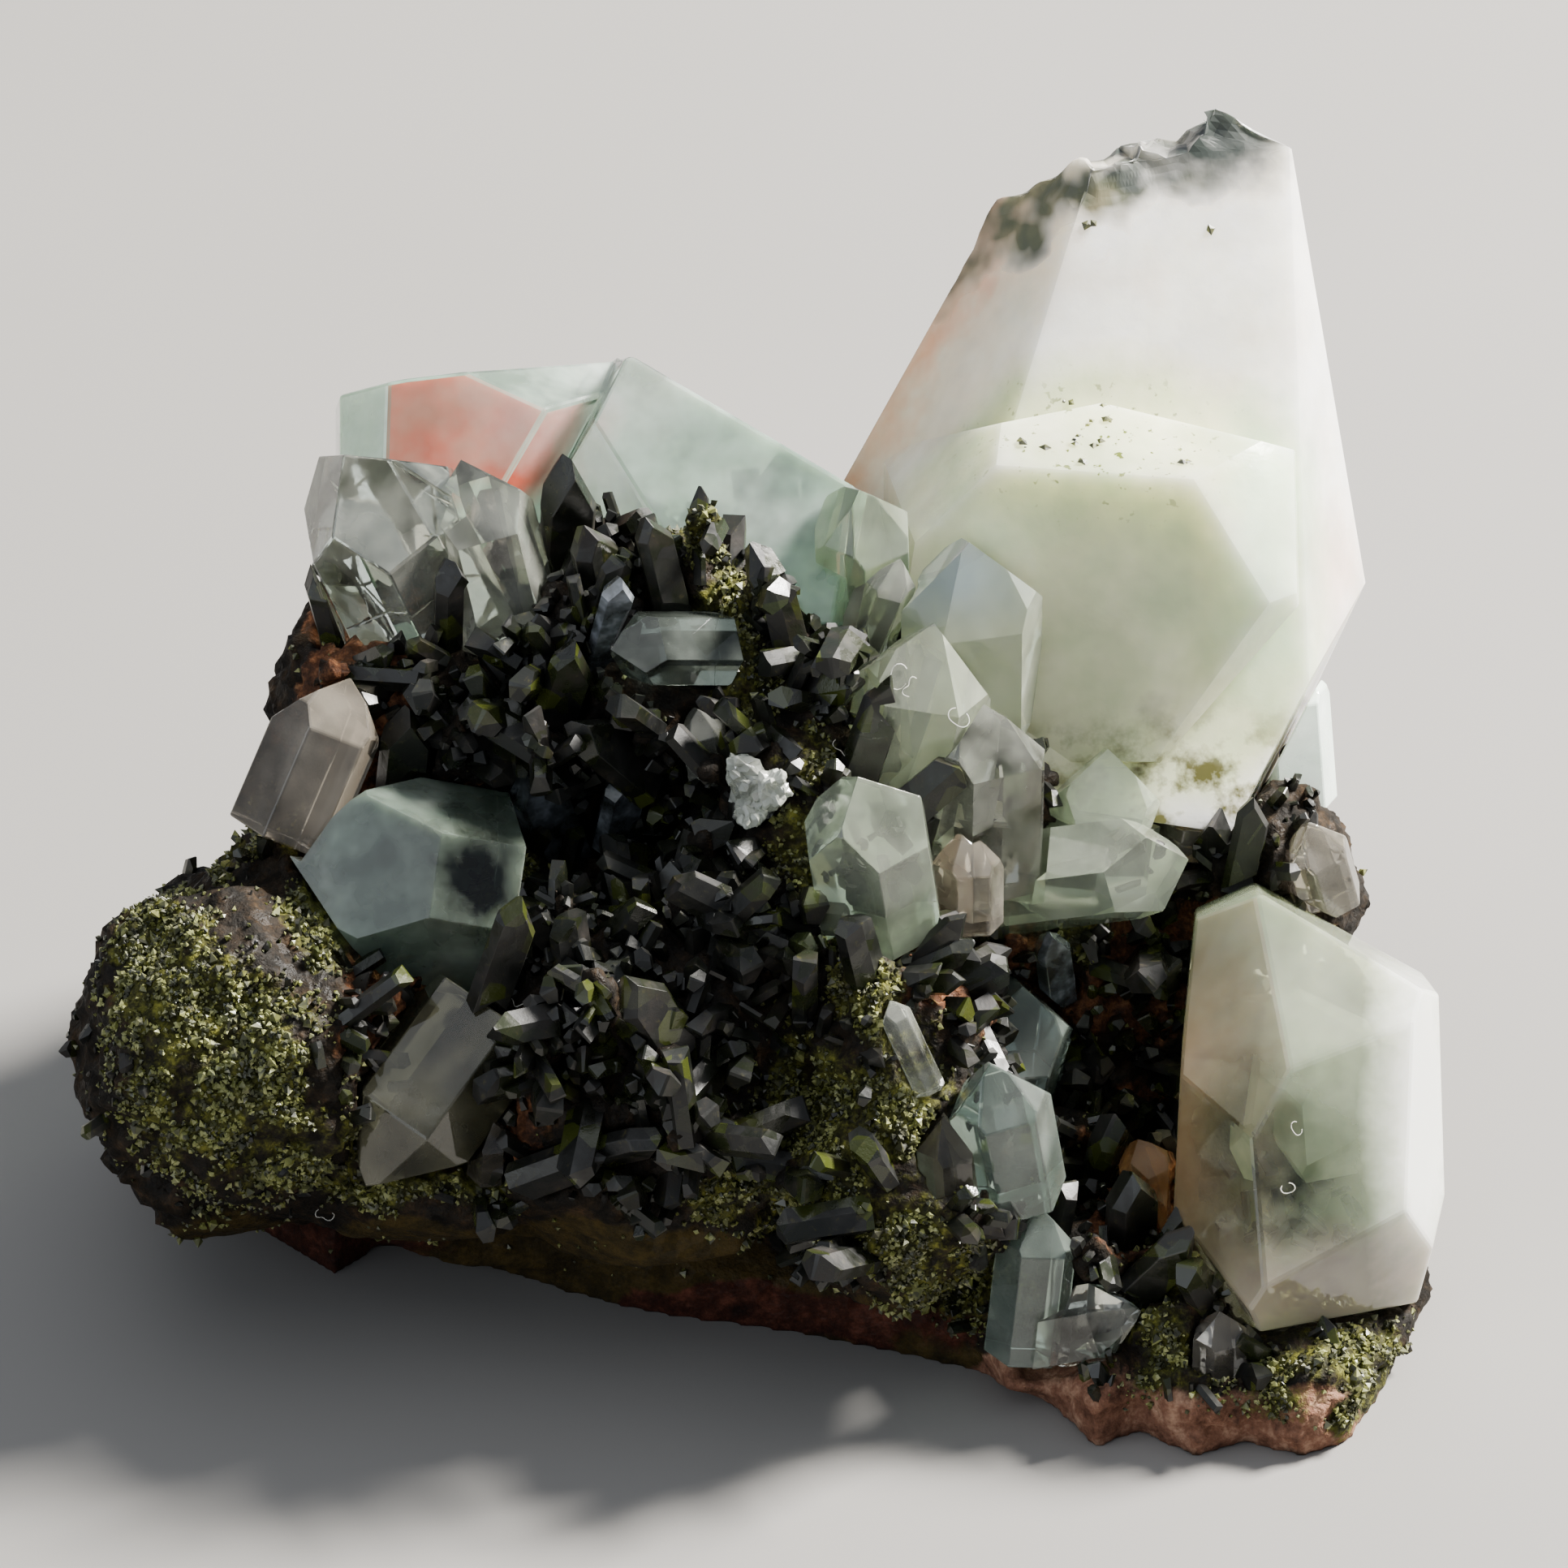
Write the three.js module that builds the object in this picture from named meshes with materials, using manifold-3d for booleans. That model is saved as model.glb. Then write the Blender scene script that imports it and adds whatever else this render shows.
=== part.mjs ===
// Epidote with quartz: a small cabinet specimen. Milky and clear quartz prisms and dark green epidote
// blades grow on a lump of epidote-crusted rock, which is sawn flat underneath and stands on the cut.
// Millimetres, +Z up. The crystals grow on a show face that leans back from upright. They are placed on
// it as [across, up, out]: across and up from the middle of the face, out towards the viewer.
import * as THREE from 'three';
import { ConvexGeometry } from 'three/addons/geometries/ConvexGeometry.js';
import { mergeVertices } from 'three/addons/utils/BufferGeometryUtils.js';
import Module from 'manifold-3d';

const wasm = await Module();
wasm.setup();

// Driving dimensions
const LEAN = THREE.MathUtils.degToRad(35); // the show face leans back this far from upright
const MIDDLE_HEIGHT = 21.5; // the face's middle above the surface that the specimen stands on
const GAP = 0.3; // clearance between a crystal and its socket, or its neighbour
const WELD = 1e-3; // corners closer than this are one corner
const QUARTZ_SLOPE = THREE.MathUtils.degToRad(51.8); // a roof face's normal, off the crystal's axis
const EPIDOTE_SLOPE = THREE.MathUtils.degToRad(58);
const EPIDOTE_SIDE = THREE.MathUtils.degToRad(64); // between an epidote's side faces
const EPIDOTE_FLAT = 0.62; // an epidote's thickness over its width
const ROCK_BUMP = 0.48; // the height of the bumps on a lump of radius 1, which grows as its root
const LUMP_DETAIL = [ // how finely a lump is shaped, by its longest radius
  { over: 6.5, subdivisions: 2 },
  { over: 0, subdivisions: 1 },
];
const FOOT_HEIGHT = 3.6;
const FOOT_CHAMFER = 1.3;
const SEED = 29;
const OUT = new THREE.Vector3(0, 0, 1);

const milky = { color: 0xe4e8d8, roughness: 0.25, metalness: 0 };
const smoky = { color: 0x7f8c82, roughness: 0.2, metalness: 0 };
const darkGreen = { color: 0x1c1f17, roughness: 0.25, metalness: 0 };
const crusted = { color: 0x3a3622, roughness: 0.85, metalness: 0 };

// The show face, and the way from the standing frame into it
const face = new THREE.Group();
face.rotation.x = Math.PI / 2 - LEAN;
face.position.z = MIDDLE_HEIGHT;
face.updateMatrixWorld(true);
const intoFace = face.matrixWorld.clone().invert();

// A repeatable draw between low and high
let drawn = SEED;
function draw(low, high) {
  drawn = (drawn * 16807) % 2147483647;
  return low + ((high - low) * drawn) / 2147483647;
}

const vector = ([x, y, z]) => new THREE.Vector3(x, y, z);

// Booleans: a closed geometry as a solid, and back
function solidOf(geometry) {
  const bare = geometry.clone();
  bare.deleteAttribute('normal');
  bare.deleteAttribute('uv');
  const merged = mergeVertices(bare, WELD);
  return new wasm.Manifold(new wasm.Mesh({
    numProp: 3,
    vertProperties: merged.attributes.position.array,
    triVerts: Uint32Array.from(merged.index.array),
  }));
}

function geometryOf(solid) {
  const { vertProperties, triVerts, numProp } = solid.getMesh();
  const positions = new Float32Array((vertProperties.length / numProp) * 3);
  for (let i = 0; i * numProp < vertProperties.length; i++) {
    positions.set(vertProperties.subarray(i * numProp, i * numProp + 3), i * 3);
  }
  const geometry = new THREE.BufferGeometry();
  geometry.setAttribute('position', new THREE.BufferAttribute(positions, 3));
  geometry.setIndex(new THREE.BufferAttribute(Uint32Array.from(triVerts), 1));
  geometry.computeVertexNormals();
  return geometry;
}

const largest = (solid) => solid.decompose().sort((a, b) => b.volume() - a.volume())[0];

// The solid inside a set of planes, each moved out by grow
function planeSolid(planes, grow = 0) {
  const moved = planes.map(({ normal, constant }) => new THREE.Plane(normal, constant - grow));
  const corners = [];
  const lines = new THREE.Matrix3();
  for (let i = 0; i < moved.length; i++) {
    for (let j = i + 1; j < moved.length; j++) {
      for (let k = j + 1; k < moved.length; k++) {
        const [p, q, r] = [moved[i], moved[j], moved[k]];
        lines.set(...p.normal.toArray(), ...q.normal.toArray(), ...r.normal.toArray());
        if (Math.abs(lines.determinant()) < WELD) continue;
        const corner = new THREE.Vector3(-p.constant, -q.constant, -r.constant);
        corner.applyMatrix3(lines.clone().invert());
        const inside = moved.every((plane) => plane.distanceToPoint(corner) < WELD);
        if (inside && corners.every((c) => c.distanceTo(corner) > 2 * WELD)) corners.push(corner);
      }
    }
  }
  return solidOf(new ConvexGeometry(corners));
}

const planeThrough = (normal, point) => new THREE.Plane().setFromNormalAndCoplanarPoint(
  normal.clone().normalize(), point);

// A crystal's directions: along its axis, towards the viewer's side of it, and across
function crystalAxes(root, tip, roll) {
  const along = tip.clone().sub(root).normalize();
  const across = along.clone().cross(OUT).normalize();
  const front = across.clone().cross(along).normalize();
  return [front.applyAxisAngle(along, roll), across.applyAxisAngle(along, roll), along];
}

// Quartz: six sides, and six roof faces that are large and small by turns
function quartzPlanes({ root, tip, width, flat = 1, taper = 0, roll = 0, uneven = 0.12 }) {
  const turn = THREE.MathUtils.degToRad(roll);
  const lean = THREE.MathUtils.degToRad(taper);
  const [front, across, along] = crystalAxes(root, tip, turn);
  const planes = [planeThrough(along.clone().negate(), root)];
  for (let side = 0; side < 6; side++) {
    const angle = (side * Math.PI) / 3;
    const outward = front.clone().multiplyScalar(Math.cos(angle));
    outward.addScaledVector(across, Math.sin(angle));
    const thin = 1 - (1 - flat) * Math.abs(outward.dot(crystalAxes(root, tip, 0)[0]));
    const reach = (width / 2) * thin * draw(1 - uneven, 1 + uneven);
    const sideNormal = outward.clone().multiplyScalar(Math.cos(lean));
    sideNormal.addScaledVector(along, Math.sin(lean));
    planes.push(planeThrough(sideNormal, root.clone().addScaledVector(outward, reach)));
    const roofNormal = outward.clone().multiplyScalar(Math.sin(QUARTZ_SLOPE));
    roofNormal.addScaledVector(along, Math.cos(QUARTZ_SLOPE));
    const above = side % 2 ? draw(0.05, 0.35) : draw(0, 0.06);
    planes.push(planeThrough(roofNormal, tip.clone().addScaledVector(along, above * width)));
  }
  return planes;
}

// Epidote: a flat six-sided blade with a slanting roof at its tip
function epidotePlanes({ root, tip, width, roll = 0, slope = EPIDOTE_SLOPE }) {
  const [front, across, along] = crystalAxes(root, tip, THREE.MathUtils.degToRad(roll));
  const planes = [planeThrough(along.clone().negate(), root)];
  for (const angle of [0, EPIDOTE_SIDE, Math.PI - EPIDOTE_SIDE]) {
    for (const half of [0, Math.PI]) {
      const outward = front.clone().multiplyScalar(Math.cos(angle + half));
      outward.addScaledVector(across, Math.sin(angle + half));
      const thin = angle === 0 ? EPIDOTE_FLAT : 1;
      planes.push(planeThrough(outward, root.clone().addScaledVector(outward, (width / 2) * thin)));
      if (angle === 0) continue;
      const roofNormal = outward.clone().multiplyScalar(Math.sin(slope));
      roofNormal.addScaledVector(along, Math.cos(slope));
      const above = half ? draw(0.1, 0.5) : draw(0, 0.1);
      planes.push(planeThrough(roofNormal, tip.clone().addScaledVector(along, above * width)));
    }
  }
  return planes;
}

// The rock: a sawn foot and the lumps above it

// A repeatable bump for a point, about -1 to 1: broad swells with smaller crags on them
function bump({ x, y, z }) {
  const swell = Math.sin(0.83 * x + 1.7 * Math.sin(0.41 * y) + 0.5 * z)
    + Math.sin(0.71 * y + 1.3 * Math.sin(0.53 * z) - 0.6 * x)
    + Math.sin(0.77 * z + 1.5 * Math.sin(0.47 * x) + 0.9 * y);
  const crag = Math.sin(1.9 * x - 1.3 * y) + Math.sin(1.7 * y + 1.1 * z) + Math.sin(2.1 * z - 1.5 * x);
  return (2 * swell + crag) / 9;
}

function lump(centre, radii) {
  const size = Math.max(...radii);
  const detail = LUMP_DETAIL.find(({ over }) => size > over).subdivisions;
  const height = ROCK_BUMP * Math.sqrt(size);
  const ball = new THREE.IcosahedronGeometry(1, detail).deleteAttribute('normal').deleteAttribute('uv');
  const shape = mergeVertices(ball, WELD);
  const points = shape.attributes.position;
  const point = new THREE.Vector3();
  const outward = new THREE.Vector3();
  for (let i = 0; i < points.count; i++) {
    outward.fromBufferAttribute(points, i);
    point.copy(outward).multiply(vector(radii)).add(vector(centre));
    point.addScaledVector(outward, height * bump(point));
    points.setXYZ(i, ...point.toArray());
  }
  return solidOf(shape);
}

// Lumps on the show face, from the left: centre and radii
const LUMPS = [
  { centre: [-0.5, -3.5, -16], radii: [22.5, 12.5, 13] }, // the body of the rock
  { centre: [-1.5, -8, -12], radii: [24, 11.5, 9] }, // its front
  { centre: [-4, -15.5, -6.5], radii: [18, 4.6, 5] }, // the wall between the foot and the brow
  { centre: [-22.5, -10.6, 1], radii: [6.6, 6.7, 6.2] }, // the mossy lump at the left
  { centre: [-19.4, -6, -2.4], radii: [4.8, 5.4, 5] },
  { centre: [-22, -10, -8], radii: [6.2, 7, 8] },
  { centre: [-20.5, -15, -5], radii: [7.5, 3.6, 5.5] }, // the ledge under it
  { centre: [-14, 3, -6], radii: [7, 8.5, 6.5] }, // shoulder below the left crystals
  { centre: [-5.5, 4.2, -5], radii: [9.5, 6.8, 7] }, // crown
  { centre: [1.6, 5, -6.5], radii: [5.5, 5.8, 5.6] }, // saddle between the crown and the tall quartz
  { centre: [-15, -7, -3], radii: [6, 7, 6] },
  { centre: [-14.5, -14.5, -3], radii: [6.5, 4.6, 5.8] },
  { centre: [-5.5, -11.8, -1], radii: [8.4, 8, 7] }, // the dark face
  { centre: [1, -2, -2], radii: [4.6, 8, 5.6] }, // the ridge, from the crown down to the brow
  { centre: [3.6, -9.5, 0.5], radii: [4.4, 6.5, 6] },
  { centre: [4.6, -16, 1], radii: [5, 5.4, 6] },
  { centre: [7, -1, -5], radii: [4.8, 5.6, 4.2] }, // the step that the leaning quartz stands on
  { centre: [13.5, 0, -13.5], radii: [9.2, 8.5, 7.5] }, // behind the tall quartz
  { centre: [12.4, 2.8, -20.6], radii: [9.4, 5.2, 6] }, // the collar round its root, at the back
  { centre: [19.8, -4.5, -9], radii: [3.8, 5.4, 5.4] },
  { centre: [16, -21, -4.5], radii: [10.5, 5.6, 6.6] }, // the valley floor at the right
  { centre: [22, -18, -6], radii: [4.8, 8, 6] },
];

// The outline of the sawn foot, on the surface that it stands on, in the standing frame
const FOOT = [
  [-27.5, 4], [-26, 0.5], [-22.5, -1], [-18.5, -4.8], [-16.8, -2.8], [-13.5, -3.6], [-9, -6], [-5.5, -7.5],
  [1, -9], [7.8, -11.4], [10.8, -13.7], [12.8, -16.8], [14.5, -15.6], [16.8, -17.4], [19, -16.4],
  [21.1, -17.4], [23.1, -16.4], [24.8, -12.5], [26, -6], [25, 4], [20, 13], [10, 18], [-4, 19], [-18, 15],
  [-25, 9],
];

// Its upper edge is chamfered, and what the chamfer leaves under the surface is sawn off
function foot() {
  const outline = new THREE.Shape(FOOT.map(([x, y]) => new THREE.Vector2(x, y)));
  const block = new THREE.ExtrudeGeometry(outline, {
    depth: FOOT_HEIGHT - FOOT_CHAMFER,
    bevelThickness: FOOT_CHAMFER,
    bevelSize: FOOT_CHAMFER,
    bevelOffset: -FOOT_CHAMFER,
    bevelSegments: 1,
  });
  return solidOf(block.applyMatrix4(intoFace));
}

function belowTheSurface() {
  const DEEP = 60;
  const block = new THREE.BoxGeometry(3 * DEEP, 3 * DEEP, DEEP).translate(0, 0, -DEEP / 2);
  return solidOf(block.applyMatrix4(intoFace));
}

const rock = LUMPS.reduce((sum, { centre, radii }) => sum.add(lump(centre, radii)), foot())
  .subtract(belowTheSurface());

// Where a line of sight straight into the show face meets the rock
const rockSkin = new THREE.Mesh(geometryOf(rock), new THREE.MeshStandardMaterial());
const sight = new THREE.Raycaster();
const BEFORE_FACE = 60;
function onRock([across, up]) {
  sight.set(new THREE.Vector3(across, up, BEFORE_FACE), OUT.clone().negate());
  const [hit] = sight.intersectObject(rockSkin);
  if (!hit) throw new Error(`no rock behind ${across}, ${up}`);
  return hit;
}

// A crystal that leaves the rock at from, ends at to, and rises by rise towards the viewer on the way.
// depth, where it is given, is its start's own place out, for a crystal that stands on another.
function planted({ from, to, rise, sink = 1.5, depth, ...form }) {
  const start = new THREE.Vector3(...from, depth ?? onRock(from).point.z);
  const tip = new THREE.Vector3(...to, start.z + rise);
  const root = start.clone().addScaledVector(tip.clone().sub(start).normalize(), -sink);
  return { root, tip, ...form };
}

// The five big quartz crystals, each as the planes of its faces: the way it faces, and a point on it
const facePlanes = (faces) => faces.map(([normal, point]) => planeThrough(vector(normal), vector(point)));

const TALL = quartzPlanes({
  root: vector([11.5, 1, -13.5]), tip: vector([18.5, 41.6, -5]), width: 29.6, taper: 17, roll: 8, flat: 0.68,
  uneven: 0.02,
}).concat(facePlanes([
  [[-0.37, 0.93, -0.1], [17.8, 28, -6]], // the broken top, left
  [[0.47, 0.88, -0.05], [17.8, 28, -6]], // and right
  [[-0.59, 0.81, 0.1], [9, 24, -6]],
  [[0.89, -0.46, 0.05], [23.8, 8, -9]],
]));

// Bites out of the tall crystal's broken top
const TALL_BITES = [
  { centre: [12.9, 27.2, -8], radii: [2, 2.1, 8] },
  { centre: [15.6, 28.3, -8], radii: [1.9, 2.1, 8] },
];

const FRONT = facePlanes([
  [[-0.08, -0.25, 0.96], [16.8, 12.5, -0.5]], // the large front face
  [[0.02, 0.8, 0.6], [16.8, 12.5, -0.5]], // the roof
  [[0.55, 0.17, 0.82], [16.8, 12.5, -0.5]], // the right shoulder
  [[1, 0.03, 0.05], [21, 12, -3.4]],
  [[0.6, -0.6, 0.52], [17.6, 4.2, -2.6]],
  [[0.75, -0.66, 0], [20.6, 6.7, -5]],
  [[0, -1, 0.1], [13, 0.9, -4]],
  [[-0.6, -0.74, 0.3], [5.6, 5.5, -3.8]],
  [[-0.97, 0.1, 0.2], [4.9, 9, -4]],
  [[-0.7, 0.6, 0.38], [7.3, 12.7, -3]],
  [[-0.2, 0.98, 0], [13.1, 15.7, -6]],
  [[0.24, 0.97, 0], [13.1, 15.7, -6]],
  [[0, 0, -1], [14, 6, -12]],
]);

const RIGHT = facePlanes([
  [[0.15, 0.1, 0.98], [22.5, -14, 3.6]], // the front face
  [[-0.75, 0, 0.66], [19.3, -17, 4.4]], // left of the upright edge
  [[-0.5, 0.42, 0.76], [19.3, -14.1, 4.1]], // the peach face above that
  [[-0.05, 0.55, 0.83], [22.6, -10.8, 3.2]], // the top
  [[0.52, -0.75, 0.6], [22.4, -19.1, 4.1]], // the underside
  [[0.93, 0, 0.36], [25.6, -14, 3.1]],
  [[1, 0.04, -0.1], [27, -12, 0]],
  [[0.97, -0.24, 0], [26.7, -18.5, 0]],
  [[-1, 0.05, -0.05], [16.1, -14, 1]],
  [[-0.83, -0.55, 0.1], [16, -17.5, 1]],
  [[0.1, -0.99, -0.1], [21, -22, 0]],
  [[0.48, 0.88, 0.1], [22.8, -6.4, 0]],
  [[-0.4, 0.9, 0.15], [18.2, -5.3, 0]],
  [[-0.99, 0.11, 0], [16.6, -8, 0]],
  [[0, 0, -1], [20, -14, -4.6]],
]);

const LEFT_LYING = facePlanes([
  [[-0.05, 0.12, 0.99], [-13.5, 14.5, -4.5]], // the salmon-pink face
  [[0.3, 0.78, 0.55], [-11, 16.1, -4.7]], // the band over it
  [[0.7, -0.35, 0.62], [-10.4, 14.2, -4.4]],
  [[-0.75, 0.1, 0.65], [-16.4, 14.7, -4.7]],
  [[-1, 0, 0.05], [-18.35, 15, -7]],
  [[-0.18, 0.98, -0.05], [-15, 16.7, -7]],
  [[-0.115, 0.99, -0.05], [-9.5, 17.3, -7]],
  [[-0.5, -0.8, 0.2], [-17.4, 12.8, -7]],
  [[0, -1, 0], [-12, 9.5, -8]],
  [[0.51, 0.86, 0], [-6.2, 17.4, -8]],
  [[1, 0, 0], [-5, 12, -8]],
  [[0, 0, -1], [-12, 12, -13]],
]);

const LEFT_MILKY = facePlanes([
  [[-0.08, 0.3, 0.95], [-3, 13, -3.4]], // the large milky face
  [[-0.62, -0.1, 0.78], [-7.4, 14.6, -4.1]], // the bright facets at its tip
  [[-0.88, 0.47, 0.1], [-8.1, 14.8, -6]],
  [[0.51, 0.86, 0], [-1.8, 15, -6]],
  [[-0.12, 0.99, 0], [-6.4, 17.6, -6]],
  [[0.96, -0.1, 0.2], [3.2, 10, -5]],
  [[0, -1, 0], [-3, 6.5, -6]],
  [[0, 0, -1], [-3, 12, -14]],
]);

// The other quartz crystals, one node to each group that has grown together
const QUARTZ = {
  quartz_left_round: [{ from: [-15.8, 9.2], to: [-17.8, 13.4], rise: 4.2, width: 6.6, roll: 20, sink: 3 }],
  quartz_left_bright: [{ from: [-12.2, 9], to: [-13.2, 13.2], rise: 2.4, width: 4.4, roll: 5, sink: 3 }],
  quartz_left_blade: [{ from: [-20, -0.8], to: [-17.8, 4.3], rise: 0.8, width: 3.9, roll: 12, depth: 0.8 }],
  quartz_green_stub: [{ from: [-13.2, -4.4], to: [-20, -3.2], rise: 1.6, width: 7.6, roll: 8, depth: 0.6 }],
  quartz_smoky_stub: [{ from: [-12.8, -10.6], to: [-17, -16.4], rise: 0.6, width: 5, roll: 16, depth: 2.2 }],
  quartz_middle_stub: [{ from: [-3.8, 5.5], to: [-7, 5.5], rise: 2.4, width: 3, roll: 20 }],
  quartz_middle_drop: [{ from: [-3.2, 1.2], to: [-3.5, 3], rise: 1.6, width: 1.7, roll: 10 }],
  quartz_white_crumb: [
    { from: [-1.4, -0.2], to: [-1.9, 1], rise: 1.7, width: 1.3, roll: 10 },
    { from: [-0.9, -0.5], to: [-0.1, 0.2], rise: 1.8, width: 1.2, roll: 25 },
    { from: [-1.2, -0.8], to: [-1.5, -1.6], rise: 1.5, width: 1.1, roll: 5 },
  ],
  quartz_saddle: [
    { from: [3.2, 9], to: [3.1, 12], rise: 3, width: 4.2, roll: 30, sink: 3 },
    { from: [0.9, 9.4], to: [0.2, 10.8], rise: 1, width: 1.4, roll: 10 },
  ],
  quartz_step_small: [{ from: [3.7, 6.6], to: [4.7, 9.2], rise: 1.4, width: 2.2, roll: 15 }],
  quartz_step_pair: [
    { from: [7.6, 4.2], to: [7.6, 9.7], rise: 4.6, width: 5, roll: 12, depth: -3 },
    { from: [5, 0.8], to: [6.2, 6.4], rise: 3.8, width: 4.8, roll: 6 },
  ],
  quartz_leaf: [{ from: [8, -2.6], to: [8.1, 3.2], rise: 3.6, width: 4.7, roll: 26, flat: 0.85 }],
  quartz_bullet: [{ from: [3.8, -4.4], to: [3, 0.3], rise: 4, width: 4.7, roll: 28 }],
  quartz_cushion: [
    { from: [12.8, -3], to: [13.3, 1.4], rise: 3, width: 4.4, roll: 10 },
    { from: [10.2, -4], to: [16.5, -3.2], rise: 2.6, width: 4.2, roll: 22 },
  ],
  quartz_under_leaf: [{ from: [7.4, -4.4], to: [7.4, -1.8], rise: 1, width: 2.8, roll: 10, depth: 0.6 }],
  quartz_back_white: [{ from: [21, 0.6], to: [20.6, 5.6], rise: 1.2, width: 3.4, roll: 15 }],
  quartz_back_small: [{ from: [17, -1.4], to: [17.7, 2.2], rise: 1.8, width: 2.8, roll: 12 }],
  quartz_back_pebble: [{ from: [22.2, -3.6], to: [21.6, -1.6], rise: 1.4, width: 2.6, roll: 20 }],
  quartz_valley_block: [{ from: [9.2, -11.6], to: [9.8, -8.4], rise: 3.4, width: 4.8, roll: 18 }],
  quartz_valley_tall: [
    { from: [9.2, -15.6], to: [8.4, -11.4], rise: 3.4, width: 3.9, roll: 8 },
    { from: [11.2, -16.8], to: [11.6, -13], rise: 2.2, width: 2.4, roll: 20 },
  ],
  quartz_valley_side: [{ from: [6.9, -16.2], to: [6.7, -13.4], rise: 1.6, width: 2.5, roll: 14, depth: 4.4 }],
  quartz_valley_low: [{ from: [10, -22], to: [10.5, -17.4], rise: 2.4, width: 2.8, roll: 10 }],
  quartz_lying: [{ from: [10.8, -22.3], to: [14.5, -21.6], rise: 1.4, width: 2.9, roll: 22 }],
  quartz_pea: [{ from: [17.8, -23], to: [17.8, -21.6], rise: 1.2, width: 2.2, roll: 20 }],
  quartz_amber: [{ from: [15.1, -17], to: [14.5, -14.6], rise: 1.4, width: 2, roll: 24 }],
  quartz_crumb: [{ from: [-12, -14.9], to: [-11.9, -13.8], rise: 1.4, width: 1.5, roll: 15 }],
  quartz_splinter: [{ from: [5.6, -11.6], to: [4.3, -8.8], rise: 0.8, width: 1.2, roll: 10, sink: 1 }],
};

// The epidote crystals that stand out, each its own node
const EPIDOTE = {
  epidote_crown_spear: [{ from: [-9, 9.6], to: [-8.7, 13.2], rise: 2.8, width: 2.2, roll: 20, slope: 1.15 }],
  epidote_crown_prism: [{ from: [-4.8, 8], to: [-5.5, 10.8], rise: 2.2, width: 1.5, roll: 30 }],
  epidote_crown_block: [{ from: [-7.5, 8.4], to: [-7.9, 10.4], rise: 2, width: 2, roll: 40 }],
  epidote_crown_step: [{ from: [-13.5, 6.9], to: [-13.4, 9], rise: 2, width: 1.7, roll: 35 }],
  epidote_crown_bright: [{ from: [-7.3, 5.9], to: [-6.6, 8.3], rise: 2.4, width: 1.3, roll: 25 }],
  epidote_slope_block: [{ from: [-9.2, 3.2], to: [-8.4, 5.5], rise: 1.9, width: 1.8, roll: 20 }],
  epidote_left_step: [{ from: [-15.6, 0.4], to: [-15.3, 2.9], rise: 1.8, width: 2, roll: 12 }],
  epidote_middle_block: [{ from: [-6.4, 0.7], to: [-8.5, 2.5], rise: 2, width: 2, roll: 30 }],
  epidote_edge_spear: [{ from: [3.4, 1.4], to: [4.4, 4.2], rise: 1.2, width: 1.7, roll: 18, depth: 2.4 }],
  epidote_edge_block: [{ from: [1.6, 4.6], to: [3, 6.1], rise: 2, width: 1.6, roll: 40 }],
  epidote_face_mirror: [{ from: [-9.2, -2.4], to: [-10.4, 0.6], rise: 2.6, width: 2.3, roll: 12 }],
  epidote_face_facet: [{ from: [-6.8, -1.4], to: [-6.3, 0.6], rise: 2, width: 1.7, roll: 35, slope: 1.1 }],
  epidote_face_long: [{ from: [-12.2, -9.2], to: [-10.6, -4.8], rise: 2.4, width: 1.7, roll: 25, depth: 4 }],
  epidote_face_dark: [{ from: [-5, -9.9], to: [-6.4, -7.8], rise: 1.8, width: 2.1, roll: 20 }],
  epidote_face_low: [{ from: [-7, -14.9], to: [-5, -14.4], rise: 1.9, width: 1.7, roll: 70 }],
  epidote_face_low_left: [{ from: [-9.6, -15.8], to: [-7.2, -14.9], rise: 1.8, width: 1.9, roll: 60 }],
  epidote_valley_blade: [{ from: [11.2, -7.9], to: [10.9, -5.9], rise: 2, width: 1.5, roll: 25, slope: 1.1 }],
  epidote_valley_spear: [{ from: [15, -20.2], to: [16.7, -18.5], rise: 2, width: 1.8, roll: 30, slope: 1.1 }],
  epidote_valley_dark: [{ from: [14.2, -18.2], to: [14.3, -16], rise: 2.2, width: 2.1, roll: 40 }],
  epidote_valley_block: [{ from: [13.2, -15.7], to: [13.6, -13.6], rise: 2, width: 2, roll: 65 }],
  epidote_valley_fan: [
    { from: [4.6, -8], to: [7.4, -5.4], rise: 1.4, width: 1.1, roll: 20, depth: 4 },
    { from: [4.6, -8], to: [7.7, -6.6], rise: 1.2, width: 1.1, roll: 45, depth: 4 },
    { from: [4.6, -8], to: [7.3, -8.1], rise: 1.6, width: 1, roll: 10, depth: 4 },
  ],
  epidote_back_blade: [{ from: [18.9, -3.3], to: [19.4, -0.8], rise: 1.6, width: 1.3, roll: 15 }],
  epidote_left_block: [{ from: [-18.2, 7.1], to: [-18.7, 9], rise: 1.8, width: 2.3, roll: 30 }],
};

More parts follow.
